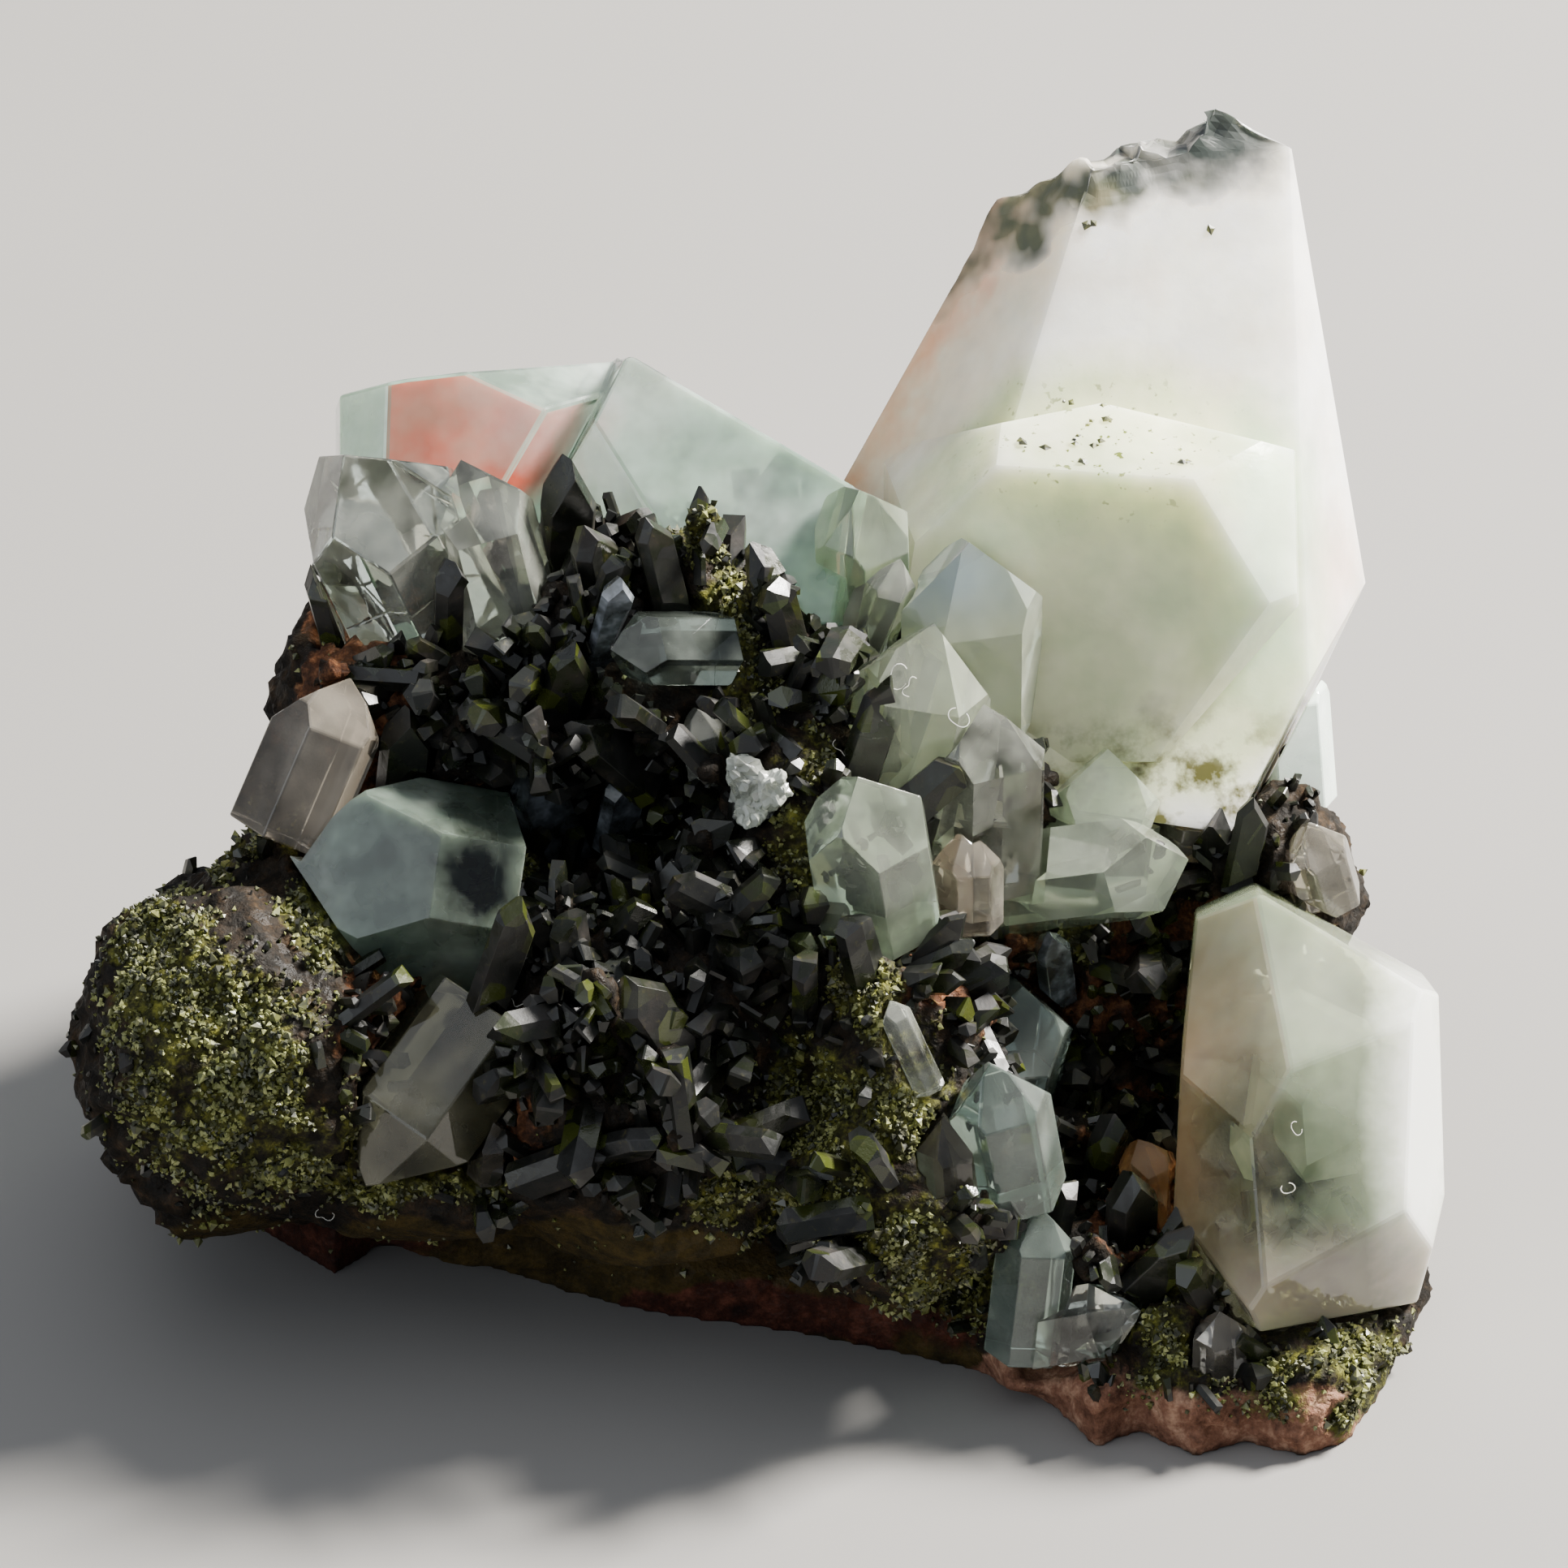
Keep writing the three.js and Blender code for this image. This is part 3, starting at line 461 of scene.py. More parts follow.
def worn(node, width):
    """A copy of a CAD crystal with its faces whole again and its edges rounded over width millimetres."""
    bm = merged(node)
    bmesh.ops.dissolve_limit(bm, angle_limit=ONE_FACE, verts=bm.verts, edges=bm.edges)
    sharp = [e for e in bm.edges if e.is_manifold and e.calc_face_angle(0) > AN_EDGE]
    bmesh.ops.bevel(
        bm, geom=sharp, offset=width * MM, segments=2, profile=0.5, affect="EDGES", clamp_overlap=True,
        material=-1,
    )
    bmesh.ops.triangulate(bm, faces=bm.faces)
    return bm


# These crystals have real gloss and a coat, and also a painted reflection: their base colour is a lighter
# blue-grey that stands for the bright reflections in their faces.
PAINTED_SHEEN_NODES = ("epidote_face_mirror", "epidote_face_facet", "epidote_crown_bright", "epidote_valley_blade")
painted_sheen_look = Finish(
    "epidote with painted reflections", Roughness=0.2, IOR=1.74, Coat_Weight=0.6, Coat_Roughness=0.05,
)
painted_sheen = painted_sheen_look.ramp(painted_sheen_look.noise(1.2, 3), (0.35, "20231f"), (0.52, "4b5054"), (0.66, "7d838b"))
painted_sheen_look.wear(Base_Color=painted_sheen, Normal=painted_sheen_look.relief(painted_sheen_look.noise(0.35, 4, 0.7), 0.02, 0.5))
for node in sorted(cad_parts):
    if node.startswith("epidote"):
        faces = painted_sheen_look if node in PAINTED_SHEEN_NODES else epidote
        name = node.replace("epidote", "dark_crystal")
        crystal = made(name, worn(node, EPIDOTE_WEAR), "epidote", faces.material)
        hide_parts(node)

# The olive crust
# Powdery green-yellow epidote grains, the last to grow, which cling like moss to the left lump, the edge of
# the ridge and the bottom right corner. A few flecks of the same sit on the two tall quartz crystals.
CRUST_SEED = 11
CRUST_COUNT = 20000
CRUST_FOOT = 1.2  # none lies lower than this
COARSE_SHARE = 0.08  # this share of the grains is coarser, by this factor
COARSE = 1.7
STRAY_GRAINS = 0.006  # how thick the grains lie outside the patches
GRAIN_FORMS = 4
# Where the flecks lie, across and up the show face
FLECKS = [
    (11.7, 15.6), (12.9, 15.6), (12.6, 14.9), (11.9, 14), (12.9, 14), (12.2, 13.1), (16.3, 13.2),
    (10.8, 13.9), (9.9, 13.9), (13.4, 14.9), (17.6, 22.9), (12.6, 23.2),
]
FLECK_GRAINS = 3  # how many grains each fleck has
IN_FRONT = 30  # a distance out of the show face that clears every crystal


def in_world(across, up, out):
    """A place in millimetres across, up and out of the show face, as a point of the frame."""
    return SHOW_FACE @ (Vector((across, up, out)) * MM)


def crust_weight(spot, normal, height):
    """How thick the olive grains lie."""
    if height < CRUST_FOOT * MM:
        return 0
    return cover(OLIVE, spot) * facing(normal) * clump(spot) ** 1.5 + STRAY_GRAINS


rng = random.Random(CRUST_SEED)
grain_forms = []
for i in range(GRAIN_FORMS):
    bm = bmesh.new()
    bmesh.ops.create_uvsphere(bm, u_segments=4, v_segments=2, radius=0.5)
    for vert in bm.verts:
        vert.co *= rng.uniform(0.7, 1.3)
    grain_forms.append(bpy.data.meshes.new(f"grain form {i}"))
    bm.to_mesh(grain_forms[-1])
    bm.free()
bm = bmesh.new()
for point, normal in strewn(rng, CRUST_COUNT, crust_weight):
    size = rng.uniform(0.1, 0.3) * (COARSE if rng.random() < COARSE_SHARE else 1)
    axis = (normal + Vector([rng.gauss(0, 0.5) for _ in range(3)])).normalized()
    stand = point + normal * size * 0.2 * MM
    grown_on(bm, rng.choice(grain_forms), stand, axis, size, rng.uniform(0.6, 1.9), rng.uniform(0, math.tau))
pair_skin = BVHTree.FromBMesh(merged("quartz_tall"))
for across, up in FLECKS:
    hit, normal, _, _ = pair_skin.ray_cast(in_world(across, up, IN_FRONT), -OUTWARD)
    for _ in range(FLECK_GRAINS):
        stand = hit + Vector([rng.gauss(0, 0.12) * MM for _ in range(3)])
        form = rng.choice(grain_forms)
        grown_on(bm, form, stand, normal, rng.uniform(0.25, 0.48), 0.5, rng.uniform(0, math.tau))
crust = made("olive_crust", bm, "epidote")
moss = Finish("olive crust", Roughness=0.6, IOR=1.6)
greens = moss.ramp(
    moss.grains(0.3), (0.0, "1d200d"), (0.3, "373a17"), (0.55, "555823"), (0.78, "6f7236"), (0.95, "90925b"),
)
patchy = moss.stained(greens, moss.between(moss.noise(1.8), 0.5, 0.66, 0, 0.75), tone("24220f"))
greyish = moss.patch((-22.8, -10.5, -6), (3, 2.6, 9), 0.6, 1.4)
patchy = moss.stained(patchy, moss.math("MULTIPLY", greyish, 0.45), tone("5d6e5e"))
moss.wear(Base_Color=patchy, Roughness=moss.between(moss.grains(0.4), 0, 1, 0.25, 0.8))
crust.data.materials.append(moss.material)

# The tall quartz and the one in front of it
# Two big crystals that grew together out of the rock, milky with a green tinge. The back one is broken at
# the top, where the break is rough and dirty; the front one has flecks of epidote inside its roof.
QUARTZ_IOR = 1.544
SCATTER = (1, 0.95, 0.8)  # how far red, green and blue light go in milky quartz, against each other
TALL_WEAR = 0.22
BREAK_SLOPE = 0.42  # how steeply the foot of the break climbs to the right
BREAK_FOOT = 17.6  # how far up the show face the break starts
BREAK_FADE = 1.8  # and in how many millimetres it reaches its full roughness
CHIPPED_FROM = 16.5  # from here up, no edge of the mesh is longer than CHIP_MESH
CHIP_MESH = 0.5
CHIP_DEPTH = 0.4


def up_the_break(point):
    """How far up the show face a point is, in millimetres, from a line that climbs as the break does."""
    spot = on_face(point)
    return spot.y - BREAK_SLOPE * spot.x


tall = Finish("tall quartz", IOR=QUARTZ_IOR, Roughness=0.3, Coat_Weight=0.2, Coat_Roughness=0.08)
tall.skin.inputs["Subsurface Radius"].default_value = SCATTER
tall.skin.inputs["Subsurface Scale"].default_value = 4 * MM
green = tall.ramp(tall.noise(4, 3), (0.3, "cdd8af"), (0.5, "dfe4bf"), (0.7, "ecedd2"))
smear = tall.ramp(tall.noise(2.4, 2), (0.35, "777153"), (0.5, "53563e"), (0.65, "39403a"))
# The front crystal is greener
milk = tall.ramp(tall.noise(4.5, 2), (0.3, "f2ede3"), (0.5, "f9f5ee"), (0.7, "fdfaf5"))
milk = tall.stained(milk, tall.patch((13.5, 8, -4.5), (10.5, 9.6, 7), 0.1, 0.15), green)
# A cream edge at the left that goes over to salmon, a rosy spot at the right and a mint patch beside it
place = tall.add("ShaderNodeSeparateXYZ", {"Vector": tall.face_place()})
across = place.outputs["X"]
up = place.outputs["Y"]
inward = tall.math("SUBTRACT", tall.math("MULTIPLY", across, 0.88), tall.math("MULTIPLY", up, 0.48))
inward = tall.math("ADD", inward, tall.between(tall.noise(3, 3), 0.3, 0.7, 2.6, 4))
milk = tall.stained(milk, tall.between(inward, 3.8, 0.2, 0, 0.8), tone("f4dfc0"))
milk = tall.stained(milk, tall.between(inward, 0.9, -0.5, 0, 0.8), tone("f2ae86"))
rosy = tall.patch((23, 8.8, -7), (1.8, 2.6, 6), 0.6)
milk = tall.stained(milk, tall.math("MULTIPLY", rosy, 0.5), tone("f3c4b0"))
mint = tall.patch((20.5, 10, -4), (2.6, 6, 6), 0.4)
milk = tall.stained(milk, tall.math("MULTIPLY", mint, 0.6), tone("c9e0cd"))
# Grime along the break, darkest on its peak
edge = tall.math("ADD", up, tall.math("MULTIPLY", across, -BREAK_SLOPE))
ragged = tall.math("ADD", edge, tall.between(tall.noise(2.2, 2, 0.5), 0.3, 0.7, -1.2, 1.2))
grime = tall.between(ragged, 16.9, 18.7)
grime = tall.math("MULTIPLY", grime, tall.between(tall.noise(2.6, 2, 0.5), 0.32, 0.55, 0.15, 1))
milk = tall.stained(milk, grime, smear)
peak = tall.patch((17.6, 26.9, -6), (3.4, 2.1, 9), 0.6)
milk = tall.stained(milk, peak, tone("303733"))
# Olive flecks in the roof of the front crystal, and olive dust at the root of both
specks = tall.between(tall.noise(0.42, 2), 0.63, 0.68)
specks = tall.math("MULTIPLY", specks, tall.patch((13, 14, -3), (4.5, 2.6, 6)))
milk = tall.stained(milk, specks, tone("68742f"))
root = tall.patch((17, -1, -6), (9, 3.2, 9), 0.5)
dust = tall.math("MULTIPLY", root, tall.between(tall.noise(1.4, 4), 0.45, 0.62))
milk = tall.stained(milk, dust, tone("5c5a2c"))
tall.wear(
    Base_Color=milk,
    Transmission_Weight=tall.between(tall.noise(3.5, 3), 0.35, 0.7, 0.28, 0.06),
    Subsurface_Weight=tall.between(tall.math("MAXIMUM", grime, peak), 0, 1, 0.8, 0.1),
    Roughness=tall.between(grime, 0, 1, 0.26, 0.6),
    Normal=tall.relief(tall.noise(1.1, 3, 0.6), 0.07, 0.5),
)
bm = worn("quartz_tall", TALL_WEAR)
for _ in range(6):
    long_edges = [
        e for e in bm.edges
        if e.calc_length() > CHIP_MESH * MM and max(up_the_break(v.co) for v in e.verts) > CHIPPED_FROM
    ]
    if not long_edges:
        break
    bmesh.ops.subdivide_edges(bm, edges=long_edges, cuts=1, use_grid_fill=False)
    bmesh.ops.triangulate(bm, faces=bm.faces)
bm.normal_update()
for vert in bm.verts:
    broken = share((up_the_break(vert.co) - BREAK_FOOT) / BREAK_FADE)
    if broken > 0:
        chips = noise.fractal(on_face(vert.co) * 0.5, 1.0, 2.0, 2) * CHIP_DEPTH
        vert.co += vert.normal * chips * broken * MM
pair = made("tall_quartz_pair", bm, "milky_quartz", tall.material)
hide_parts("quartz_tall")

# The quartz at the right
# A stout milky crystal that stands at the edge of the valley, peach along its left side, with a painted
# highlight down its right edge and a ghost of an earlier, smaller crystal inside it.
RIGHT_WEAR = 0.22
GHOST_SIZE = 0.4
GHOST_PLACE = (22.4, -12.4, 0.6)


def quartz_finish(name, body, milk, clear, roughness, veil, absorb, density, texture, glow=0.6):
    """Quartz: how milky it is goes up and down through it in clouds, and its faces are faintly uneven."""
    look = Finish(name, IOR=QUARTZ_IOR)
    clouds = look.noise(veil, 3, 0.55)
    surface = look.noise(1.2, 2, 0.5)
    look.tint = look.ramp(look.noise(veil * 1.7, 2), (0.3, body[0]), (0.5, body[1]), (0.7, body[2]))
    look.through = look.between(clouds, 0.35, 0.68, clear, clear * (1 - milk))
    look.wear(
        Base_Color=look.tint,
        Transmission_Weight=look.through,
        Roughness=look.between(surface, 0.35, 0.65, roughness * 0.5, roughness * 1.7),
        Normal=look.relief(surface, 0.04, texture),
    )
    if glow:
        look.skin.inputs["Subsurface Weight"].default_value = glow
        look.skin.inputs["Subsurface Radius"].default_value = SCATTER
        look.skin.inputs["Subsurface Scale"].default_value = 1.6 * MM
    inside = look.add("ShaderNodeVolumeAbsorption", {"Color": tone(absorb), "Density": density})
    output = look.tree.nodes["Material Output"]
    look.tree.links.new(inside.outputs[0], output.inputs["Volume"])
    return look


right = quartz_finish(
    "right quartz", ("c2d1b0", "d6e0c2", "e9efd6"), 0.15, 1.0,
    roughness=0.04, veil=4.2, absorb="d3dec2", density=45, texture=0.15,
)
colour = right.tint
colour = right.stained(colour, right.math("MULTIPLY", right.facet(-0.5, 0.42, 0.76), 0.6), tone("efe3cb"))
side = right.patch((15.6, -15.2, 1), (3, 6.4, 9), 0.8)
colour = right.stained(colour, right.math("MULTIPLY", side, 0.85), tone("e8b487"))
# Painted highlight: a near-white band down the right edge, where the strong light falls, which is also made
# less clear.
painted_highlight_band = right.patch((26, -13.5, 1), (1.7, 9, 8), 0.5)
colour = right.stained(colour, right.math("MULTIPLY", painted_highlight_band, 0.9), tone("f4f5f0"))
foot_milk = right.patch((22, -20.5, 1), (5, 2.2, 8), 0.5)
colour = right.stained(colour, right.math("MULTIPLY", foot_milk, 0.7), tone("d8c3ba"))
clearer = right.patch((20.2, -15.5, 3), (3, 3.4, 8), 0.6)
through = right.math("MULTIPLY", right.through, right.between(clearer, 0, 1, 0.8, 1.05))
through = right.math("MULTIPLY", through, right.between(painted_highlight_band, 0, 1, 1, 0.3))
right.wear(Base_Color=colour, Transmission_Weight=through)
block = made("right_quartz", worn("quartz_right_block", RIGHT_WEAR), "milky_quartz", right.material)
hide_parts("quartz_right_block")

ghost_look = Finish("ghost quartz", Roughness=0.3, IOR=1.5, Transmission_Weight=0.75)
pale = ghost_look.ramp(ghost_look.noise(1.6, 4), (0.3, "9fb0a2"), (0.5, "c3cfc0"), (0.7, "dde2d6"))
ghost_look.wear(Base_Color=pale)
bm = merged("quartz_right_block")
ghost_middle = in_world(*GHOST_PLACE)
shrink = Matrix.Translation(ghost_middle) @ Matrix.Scale(GHOST_SIZE, 4) @ Matrix.Translation(-ghost_middle)
bmesh.ops.transform(bm, matrix=shrink, verts=bm.verts)
made("right_quartz_ghost", bm, "milky_quartz", ghost_look.material)

# The quartz ridge at the left
# Two crystals grown together that lie along the back of the specimen: a clear one, on two faces of which a
# salmon pink is painted as a reflection of something pink behind it, and a milky green one whose tip is
# bright.
RIDGE_WEAR = 0.16
# The faces that carry the painted pink reflection, by the way they look on the show face, and how strong it
# is
PINK_REFLECTING_FACES = [((-0.05, 0.12, 0.99), 0.9), ((0.7, -0.35, 0.62), 1.0)]
ridge_look = quartz_finish(
    "left ridge quartz", ("9dbaa8", "b1c8b8", "cbdacf"), 0.45, 0.85,
    roughness=0.08, veil=3, absorb="cfe0d0", density=60, texture=0.2,
)
colour = ridge_look.tint
through = ridge_look.through
# Painted reflection: salmon pink on those faces of the lying crystal, which are also made less clear.
painted_pink_reflection = ridge_look.ramp(ridge_look.noise(3, 2), (0.35, "de8674"), (0.5, "cc5f4b"), (0.65, "b0442f"))
lying_half = ridge_look.patch((-14.2, 14.5, -5), (7.2, 3.4, 2.2), 0.15, 0.2)
for normal, strength in PINK_REFLECTING_FACES:
    uneven = ridge_look.between(ridge_look.noise(2.6, 3), 0.32, 0.6, 0.8, 1)
    pink_reflection_mask = ridge_look.math("MULTIPLY", ridge_look.facet(*normal), lying_half)
    pink_reflection_mask = ridge_look.math("MULTIPLY", pink_reflection_mask, uneven)
    colour = ridge_look.stained(colour, ridge_look.math("MULTIPLY", pink_reflection_mask, strength), painted_pink_reflection)
    through = ridge_look.math("MULTIPLY", through, ridge_look.between(pink_reflection_mask, 0, 1, 1, 0.5))
tip = ridge_look.patch((-6.6, 16.2, -5), (4, 2.6, 8), 0.8)
colour = ridge_look.stained(colour, ridge_look.math("MULTIPLY", tip, 0.6), tone("dde3df"))
glint = ridge_look.facet(-0.62, -0.1, 0.78)
colour = ridge_look.stained(colour, ridge_look.math("MULTIPLY", glint, 0.9), tone("f2f6f6"))
ridge_look.wear(Base_Color=colour, Transmission_Weight=through)
ridge = made("left_quartz_ridge", worn("quartz_left_ridge", RIDGE_WEAR), "milky_quartz", ridge_look.material)
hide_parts("quartz_left_ridge")

# The green stub
# A stubby grey-green crystal rooted above the left lump, cloudy at its tip and clear at its root, where dark
# epidote shows inside it.
STUB_WEAR = 0.14
stub = quartz_finish(
    "green stub quartz", ("85998a", "9fb1a2", "bfcbbe"), 0.4, 0.88,
    roughness=0.06, veil=2.8, absorb="bfcbbf", density=40, texture=0.2,
)
window = stub.patch((-12.6, -3.8, 3), (2.8, 3.4, 6), 0.6)
colour = stub.stained(stub.tint, stub.math("MULTIPLY", window, 0.6), tone("62665a"))
stub.wear(Base_Color=colour, Transmission_Weight=stub.math("MAXIMUM", stub.through, window))
green_stub = made("green_stub_quartz", worn("quartz_green_stub", STUB_WEAR), "clear_quartz", stub.material)
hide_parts("quartz_green_stub")

# What the quartz holds
# Slivers of epidote, dark inside the clear parts of the quartz. They were there before it and it grew round
# them, so they lie every way.
HELD_SEED = 23
# How many slivers, the place on the show face round which they lie, and how far they spread each way
HELD = [
    (26, (20.4, -18.6, 0.6), (3, 1.8, 1.6)), (14, (22.5, -16, -0.8), (3, 3, 1)),
    (30, (-13.2, -4.4, 0.8), (2.4, 3.2, 1.2)), (10, (-15.6, -13.8, 1), (1.6, 1.6, 1)),
    (8, (3.2, -2.2, 2.8), (1, 1.6, 0.8)), (8, (14, -3, -0.8), (2, 1.4, 1)),
]
rng = random.Random(HELD_SEED)
bm = bmesh.new()
for count, middle, reach in HELD:
    for _ in range(count):
        way = Vector([rng.gauss(0, 1) for _ in range(3)]).normalized() * rng.random() ** 0.5
        point = in_world(*[m + w * r for m, w, r in zip(middle, way, reach)])
        axis = Vector([rng.gauss(0, 1) for _ in range(3)]).normalized()
        grown_on(bm, rng.choice(forms), point, axis, rng.uniform(0.25, 0.75), rng.uniform(0.7, 1.6), 0)
made("held_epidote", bm, "epidote", epidote.material)

# The smaller quartz crystals
# Stubby crystals that grew on the rock all over the show face, from water clear to milky green, and a white
# crumb of fine-grained quartz in the middle.
SMALL_WEAR = 0.09
SMALL_VEIL = 3.4  # how wide their clouds are
CRUMB_RELIEF = 0.35
# The colours of the body, milkiness, clearness, roughness, absorption and how uneven the faces are
LOOKS = {
    "clear": (("d9ded0", "e6e9dd", "f3f4ec"), 0.18, 1.0, 0.03, 25, 0.15),
    "pale green": (("bccab3", "ced9c4", "dfe6d2"), 0.18, 0.9, 0.06, 50, 0.2),
    "teal": (("9db0a6", "b4c3b9", "cdd7cf"), 0.15, 0.92, 0.05, 80, 0.15),
    "smoky": (("7d7c62", "949178", "b0ac90"), 0.25, 0.9, 0.04, 90, 0.05),
    "brownish": (("988e80", "b1a899", "cdc6b8"), 0.25, 0.97, 0.04, 70, 0.1),
    "dusk": (("6f7d74", "8b978d", "a9b3aa"), 0.15, 1.0, 0.04, 110, 0.1),
    "white": (("b7bdb2", "d5dacf", "f3f4ee"), 0.5, 0.75, 0.12, 40, 0.5),
    "painted sky top": (("c6cfba", "d6dcc9", "e2e6da"), 0.18, 0.85, 0.05, 40, 0.15),
    "amber": (("b98a5c", "cba371", "dcbd92"), 0.2, 0.92, 0.08, 120, 0.3),
    "mint": (("d6efdc", "e4f7ea", "f2fbf5"), 0.7, 0.35, 0.2, 20, 0.5),
    "tan": (("b0a898", "c6bfb0", "dcd6ca"), 0.2, 0.97, 0.05, 70, 0.2),
}
# Which look each crystal has, and its slot
SMALL_QUARTZ = {
    "left_round": ("clear", "clear_quartz"), "left_bright": ("clear", "clear_quartz"),
    "left_blade": ("brownish", "clear_quartz"),
    "smoky_stub": ("smoky", "clear_quartz"), "middle_stub": ("dusk", "clear_quartz"),
    "middle_drop": ("clear", "clear_quartz"), "white_crumb": ("white", "milky_quartz"),
    "saddle": ("pale green", "clear_quartz"), "step_small": ("clear", "clear_quartz"),
    "step_pair": ("painted sky top", "clear_quartz"), "leaf": ("clear", "clear_quartz"),
    "bullet": ("pale green", "clear_quartz"), "cushion": ("pale green", "clear_quartz"),
    "under_leaf": ("tan", "clear_quartz"), "back_white": ("mint", "milky_quartz"),
    "back_small": ("tan", "clear_quartz"), "back_pebble": ("tan", "clear_quartz"),
    "valley_block": ("teal", "clear_quartz"), "valley_tall": ("teal", "clear_quartz"),
    "valley_side": ("tan", "clear_quartz"), "valley_low": ("teal", "clear_quartz"),
    "lying": ("clear", "clear_quartz"), "pea": ("tan", "clear_quartz"), "amber": ("amber", "clear_quartz"),
    "crumb": ("tan", "clear_quartz"), "splinter": ("clear", "milky_quartz"),
}
quartz_looks = {}
for name, (body, milkiness, clearness, rough, density, texture) in LOOKS.items():
    look = quartz_finish(
        name + " quartz", body, milkiness, clearness,
        roughness=rough, veil=SMALL_VEIL, absorb=body[1], density=density, texture=texture, glow=0,
    )
    if name == "painted sky top":
        # Painted reflection: a blue-grey patch on the tops of the step pair, standing for the sky mirrored
        # in their top faces.
        top = look.math("MULTIPLY", look.patch((6.9, 8.6, 0), (2.6, 1.7, 9), 0.6), 0.7)
        look.wear(Base_Color=look.stained(look.tint, top, tone("a5bacb")))
    quartz_looks[name] = look.material
for name, (look_name, slot) in SMALL_QUARTZ.items():
    bm = worn("quartz_" + name, SMALL_WEAR)
    if name == "white_crumb":
        bmesh.ops.subdivide_edges(bm, edges=bm.edges, cuts=3, use_grid_fill=True)
        bm.normal_update()
        for vert in bm.verts:
            vert.co += vert.normal * noise.fractal(on_face(vert.co) * 2.2, 0.9, 2.0, 3) * CRUMB_RELIEF * MM
    crystal = made(name + "_quartz", bm, slot, quartz_looks[look_name])
    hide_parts("quartz_" + name)

# The lint
# A few pale fibres of lint that have settled on the crystals and cling there. Most are curled, and the one
# on the left lump is straight.
LINT_SEED = 5
LINT_RADIUS = 0.018
LINT_STEPS = 16
LINT_SIDES = 5
LOOSE_CURL = 2  # a curl wider than this keeps one radius all along
# Across, up, how far it curls round, and the radius of the curl
LINT = [
    (5, 4.7, 4.6, 0.45), (5.4, 4.3, 2.2, 0.5), (7, 3.1, 4.8, 0.4), (2.1, 1.8, 2.6, 0.5),
    (20.9, -13.8, 4.4, 0.25), (20.3, -16.4, 4.9, 0.25), (-9.4, -7.5, 5.2, 0.35), (-9, -7.3, 3.6, 0.5),
    (-9.7, -7.9, 4.2, 0.3), (-10.5, -9.3, 1.4, 0.9), (-19.1, -17.4, 4, 0.35), (-25.2, -4.8, 0.12, 9),
]


def thread(bm, path, radius):
    """A thin round thread along path, closed at both ends."""
    last_rim = []
    for before, middle, after in zip(path[:1] + path, path, path[1:] + path[-1:]):
        along = (after - before).normalized()
        side = along.cross(OUTWARD).normalized()
        over = side.cross(along)
        stand = Matrix.Translation(middle) @ Matrix((-over, side, -along)).transposed().to_4x4()
        at_an_end = middle in (path[0], path[-1])
        ring = bmesh.ops.create_circle(
            bm, cap_ends=at_an_end, segments=LINT_SIDES, radius=radius, matrix=stand,
        )
        rim = [edge for vert in ring["verts"] for edge in vert.link_edges if edge.verts[0] == vert]
        if last_rim:
            bmesh.ops.bridge_loops(bm, edges=last_rim + rim)
        last_rim = rim


rng = random.Random(LINT_SEED)
bm = bmesh.new()
for across, up, sweep, curl in LINT:
    hits = [skin.ray_cast(in_world(across, up, IN_FRONT), -OUTWARD) for skin in (guest_skin, rock_skin)]
    spot, normal, _, _ = min((hit for hit in hits if hit[0]), key=lambda hit: hit[3])
    east = normal.cross(Vector((0, 0, 1))).normalized()
    north = normal.cross(east)
    start = rng.uniform(0, math.tau)
    path = []
    for step in range(LINT_STEPS):
        turn = start + sweep * step / (LINT_STEPS - 1)
        reach = curl * (1 + 0.2 * math.sin(step * 0.7)) if curl < LOOSE_CURL else curl
        lift = 0.08 + 0.1 * math.sin(step * 0.5) ** 2
        eastward = math.cos(turn) * reach - math.cos(start) * curl
        northward = math.sin(turn) * reach - math.sin(start) * curl
        path.append(spot + (east * eastward + north * northward + normal * lift) * MM)
    thread(bm, path, LINT_RADIUS * MM)
bmesh.ops.recalc_face_normals(bm, faces=bm.faces)
fibres = Finish("lint", Roughness=0.6, Subsurface_Weight=0.3)
fibres.wear(Base_Color=fibres.ramp(fibres.noise(1.5), (0.4, "b4b1a6"), (0.6, "dcdad2")))
made("lint", bm, "milky_quartz", fibres.material)

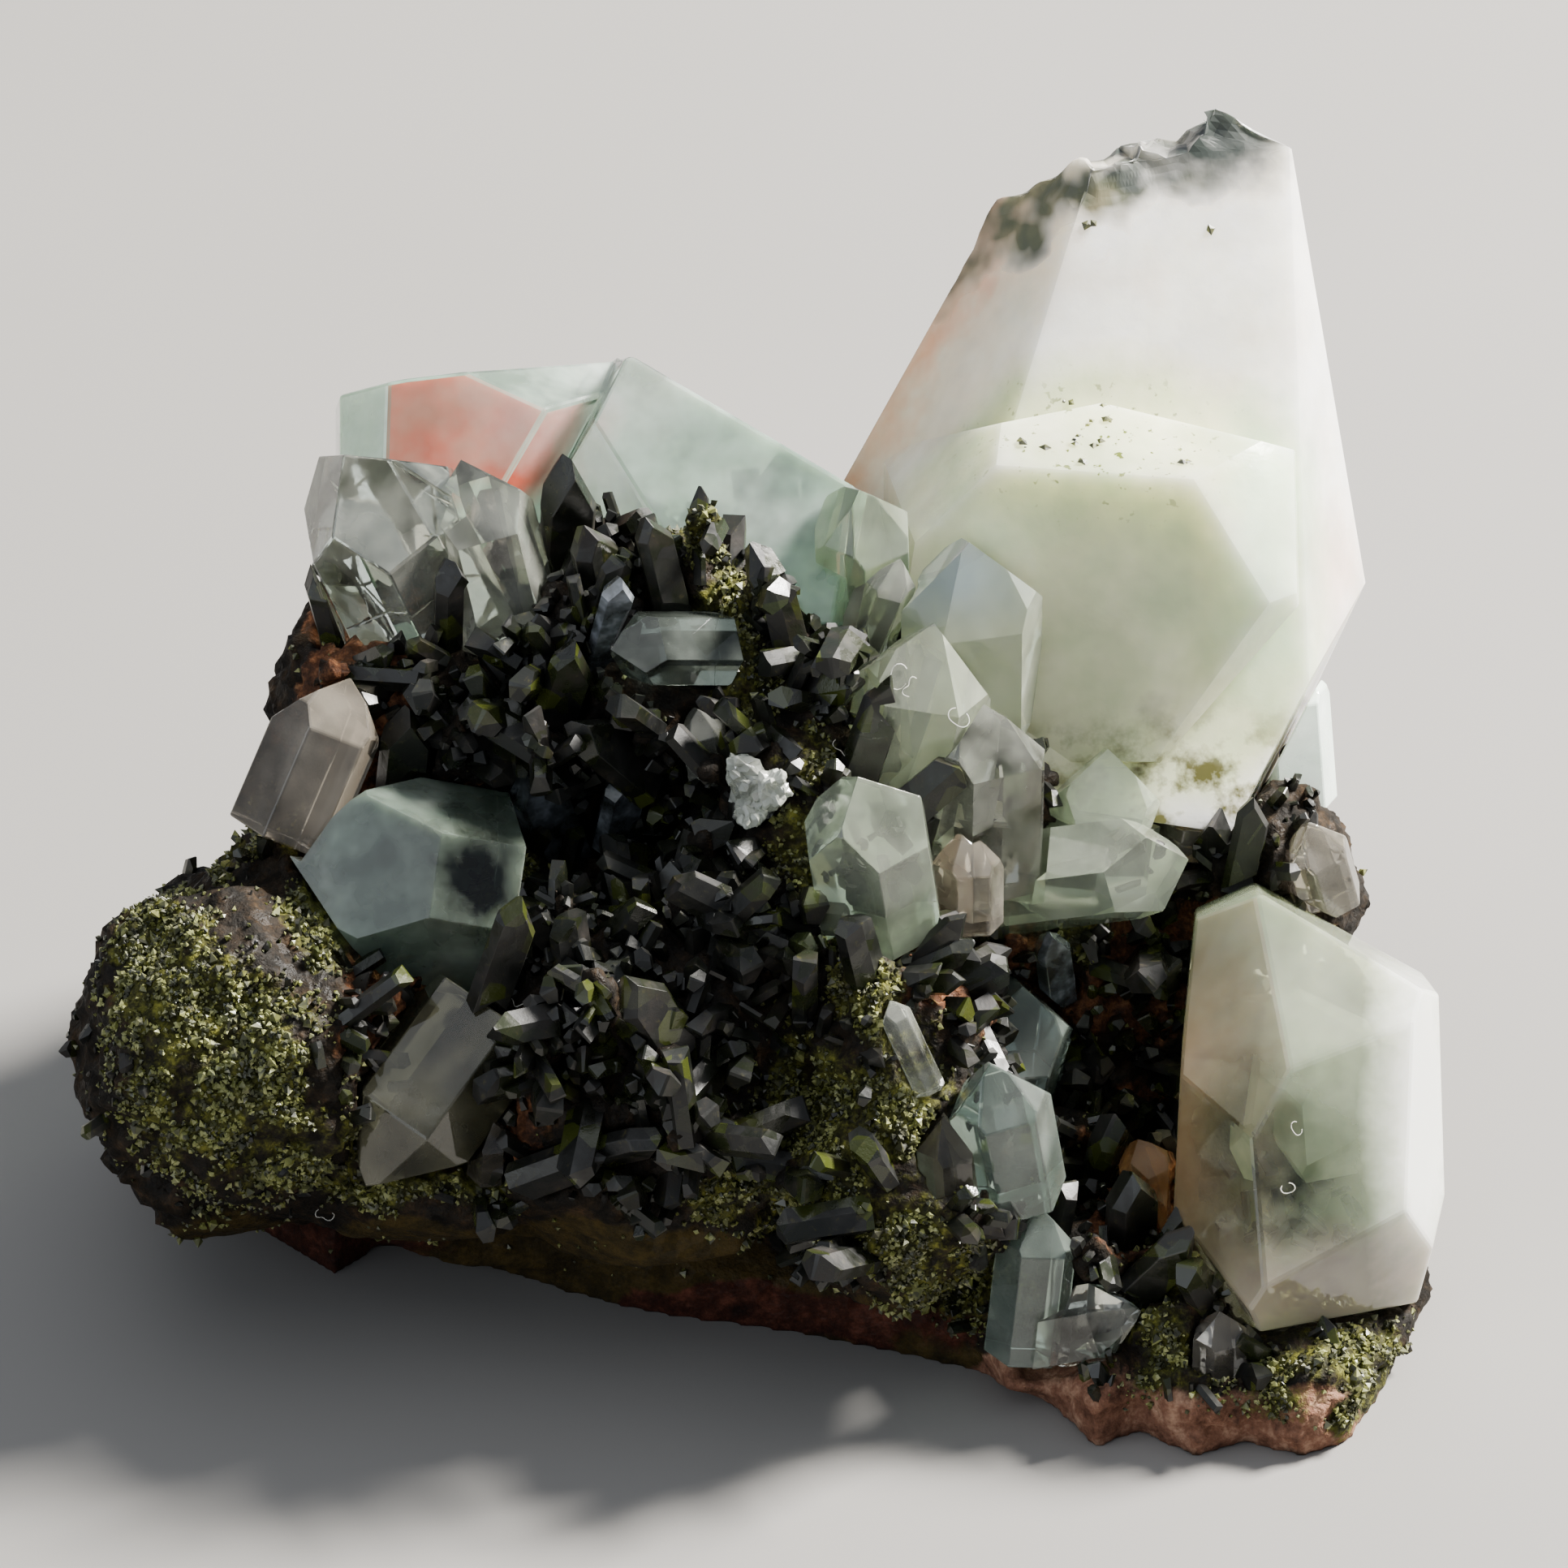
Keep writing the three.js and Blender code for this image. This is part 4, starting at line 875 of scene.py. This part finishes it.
# The table, the light and the camera
# A pale table top that the specimen stands on, under a soft sky, with the strong light high at the right and
# behind, and the camera at the photograph's angle, a long way off.
TABLE_REACH = 0.9
bm = bmesh.new()
bmesh.ops.create_grid(bm, x_segments=1, y_segments=1, size=TABLE_REACH)
table_mesh = bpy.data.meshes.new("table")
bm.to_mesh(table_mesh)
bm.free()
table = bpy.data.objects.new("table", table_mesh)
bpy.context.scene.collection.objects.link(table)
paper = Finish("pale table", Roughness=0.8)
paper.wear(Base_Color=paper.ramp(paper.noise(60, 2), (0.3, "7d7b78"), (0.7, "817f7c")))
table_mesh.materials.append(paper.material)


def soft_light(name, at, size, power, colour):
    """A soft square light that shines at the middle of the specimen."""
    lamp = bpy.data.lights.new(name, "AREA")
    lamp.size = size
    lamp.energy = power
    lamp.color = colour
    obj = bpy.data.objects.new(name, lamp)
    bpy.context.scene.collection.objects.link(obj)
    obj.location = at
    obj.rotation_euler = (FACE_MIDDLE - Vector(at)).to_track_quat("-Z", "Y").to_euler()


soft_light("sun side", (0.34, 0.16, 0.34), 0.12, 21.0, (1, 0.96, 0.9))
soft_light("front", (-0.5, -0.34, 0.16), 0.65, 1.9, (0.88, 0.94, 1))
soft_light("top", (-0.05, 0.02, 0.55), 0.75, 1.6, (0.95, 0.97, 1))

sky = bpy.data.worlds.new("soft sky")
sky.use_nodes = True
sky.node_tree.nodes["Background"].inputs["Color"].default_value = (0.8, 0.87, 1, 1)
sky.node_tree.nodes["Background"].inputs["Strength"].default_value = 0.36
bpy.context.scene.world = sky

VIEW_DISTANCE = 900
FRAME_WIDTH = 64.4  # what the view takes in at that distance
FRAME_PLANE = -2  # where that is, out of the show face
SENSOR = 36
camera = bpy.data.objects.new("camera", bpy.data.cameras.new("camera"))
bpy.context.scene.collection.objects.link(camera)
camera.location = in_world(0, 0, FRAME_PLANE + VIEW_DISTANCE)
camera.rotation_euler = (LEAN, 0, 0)
camera.data.sensor_width = SENSOR
camera.data.lens = SENSOR * VIEW_DISTANCE / FRAME_WIDTH
camera.data.clip_end = 10
bpy.context.scene.camera = camera
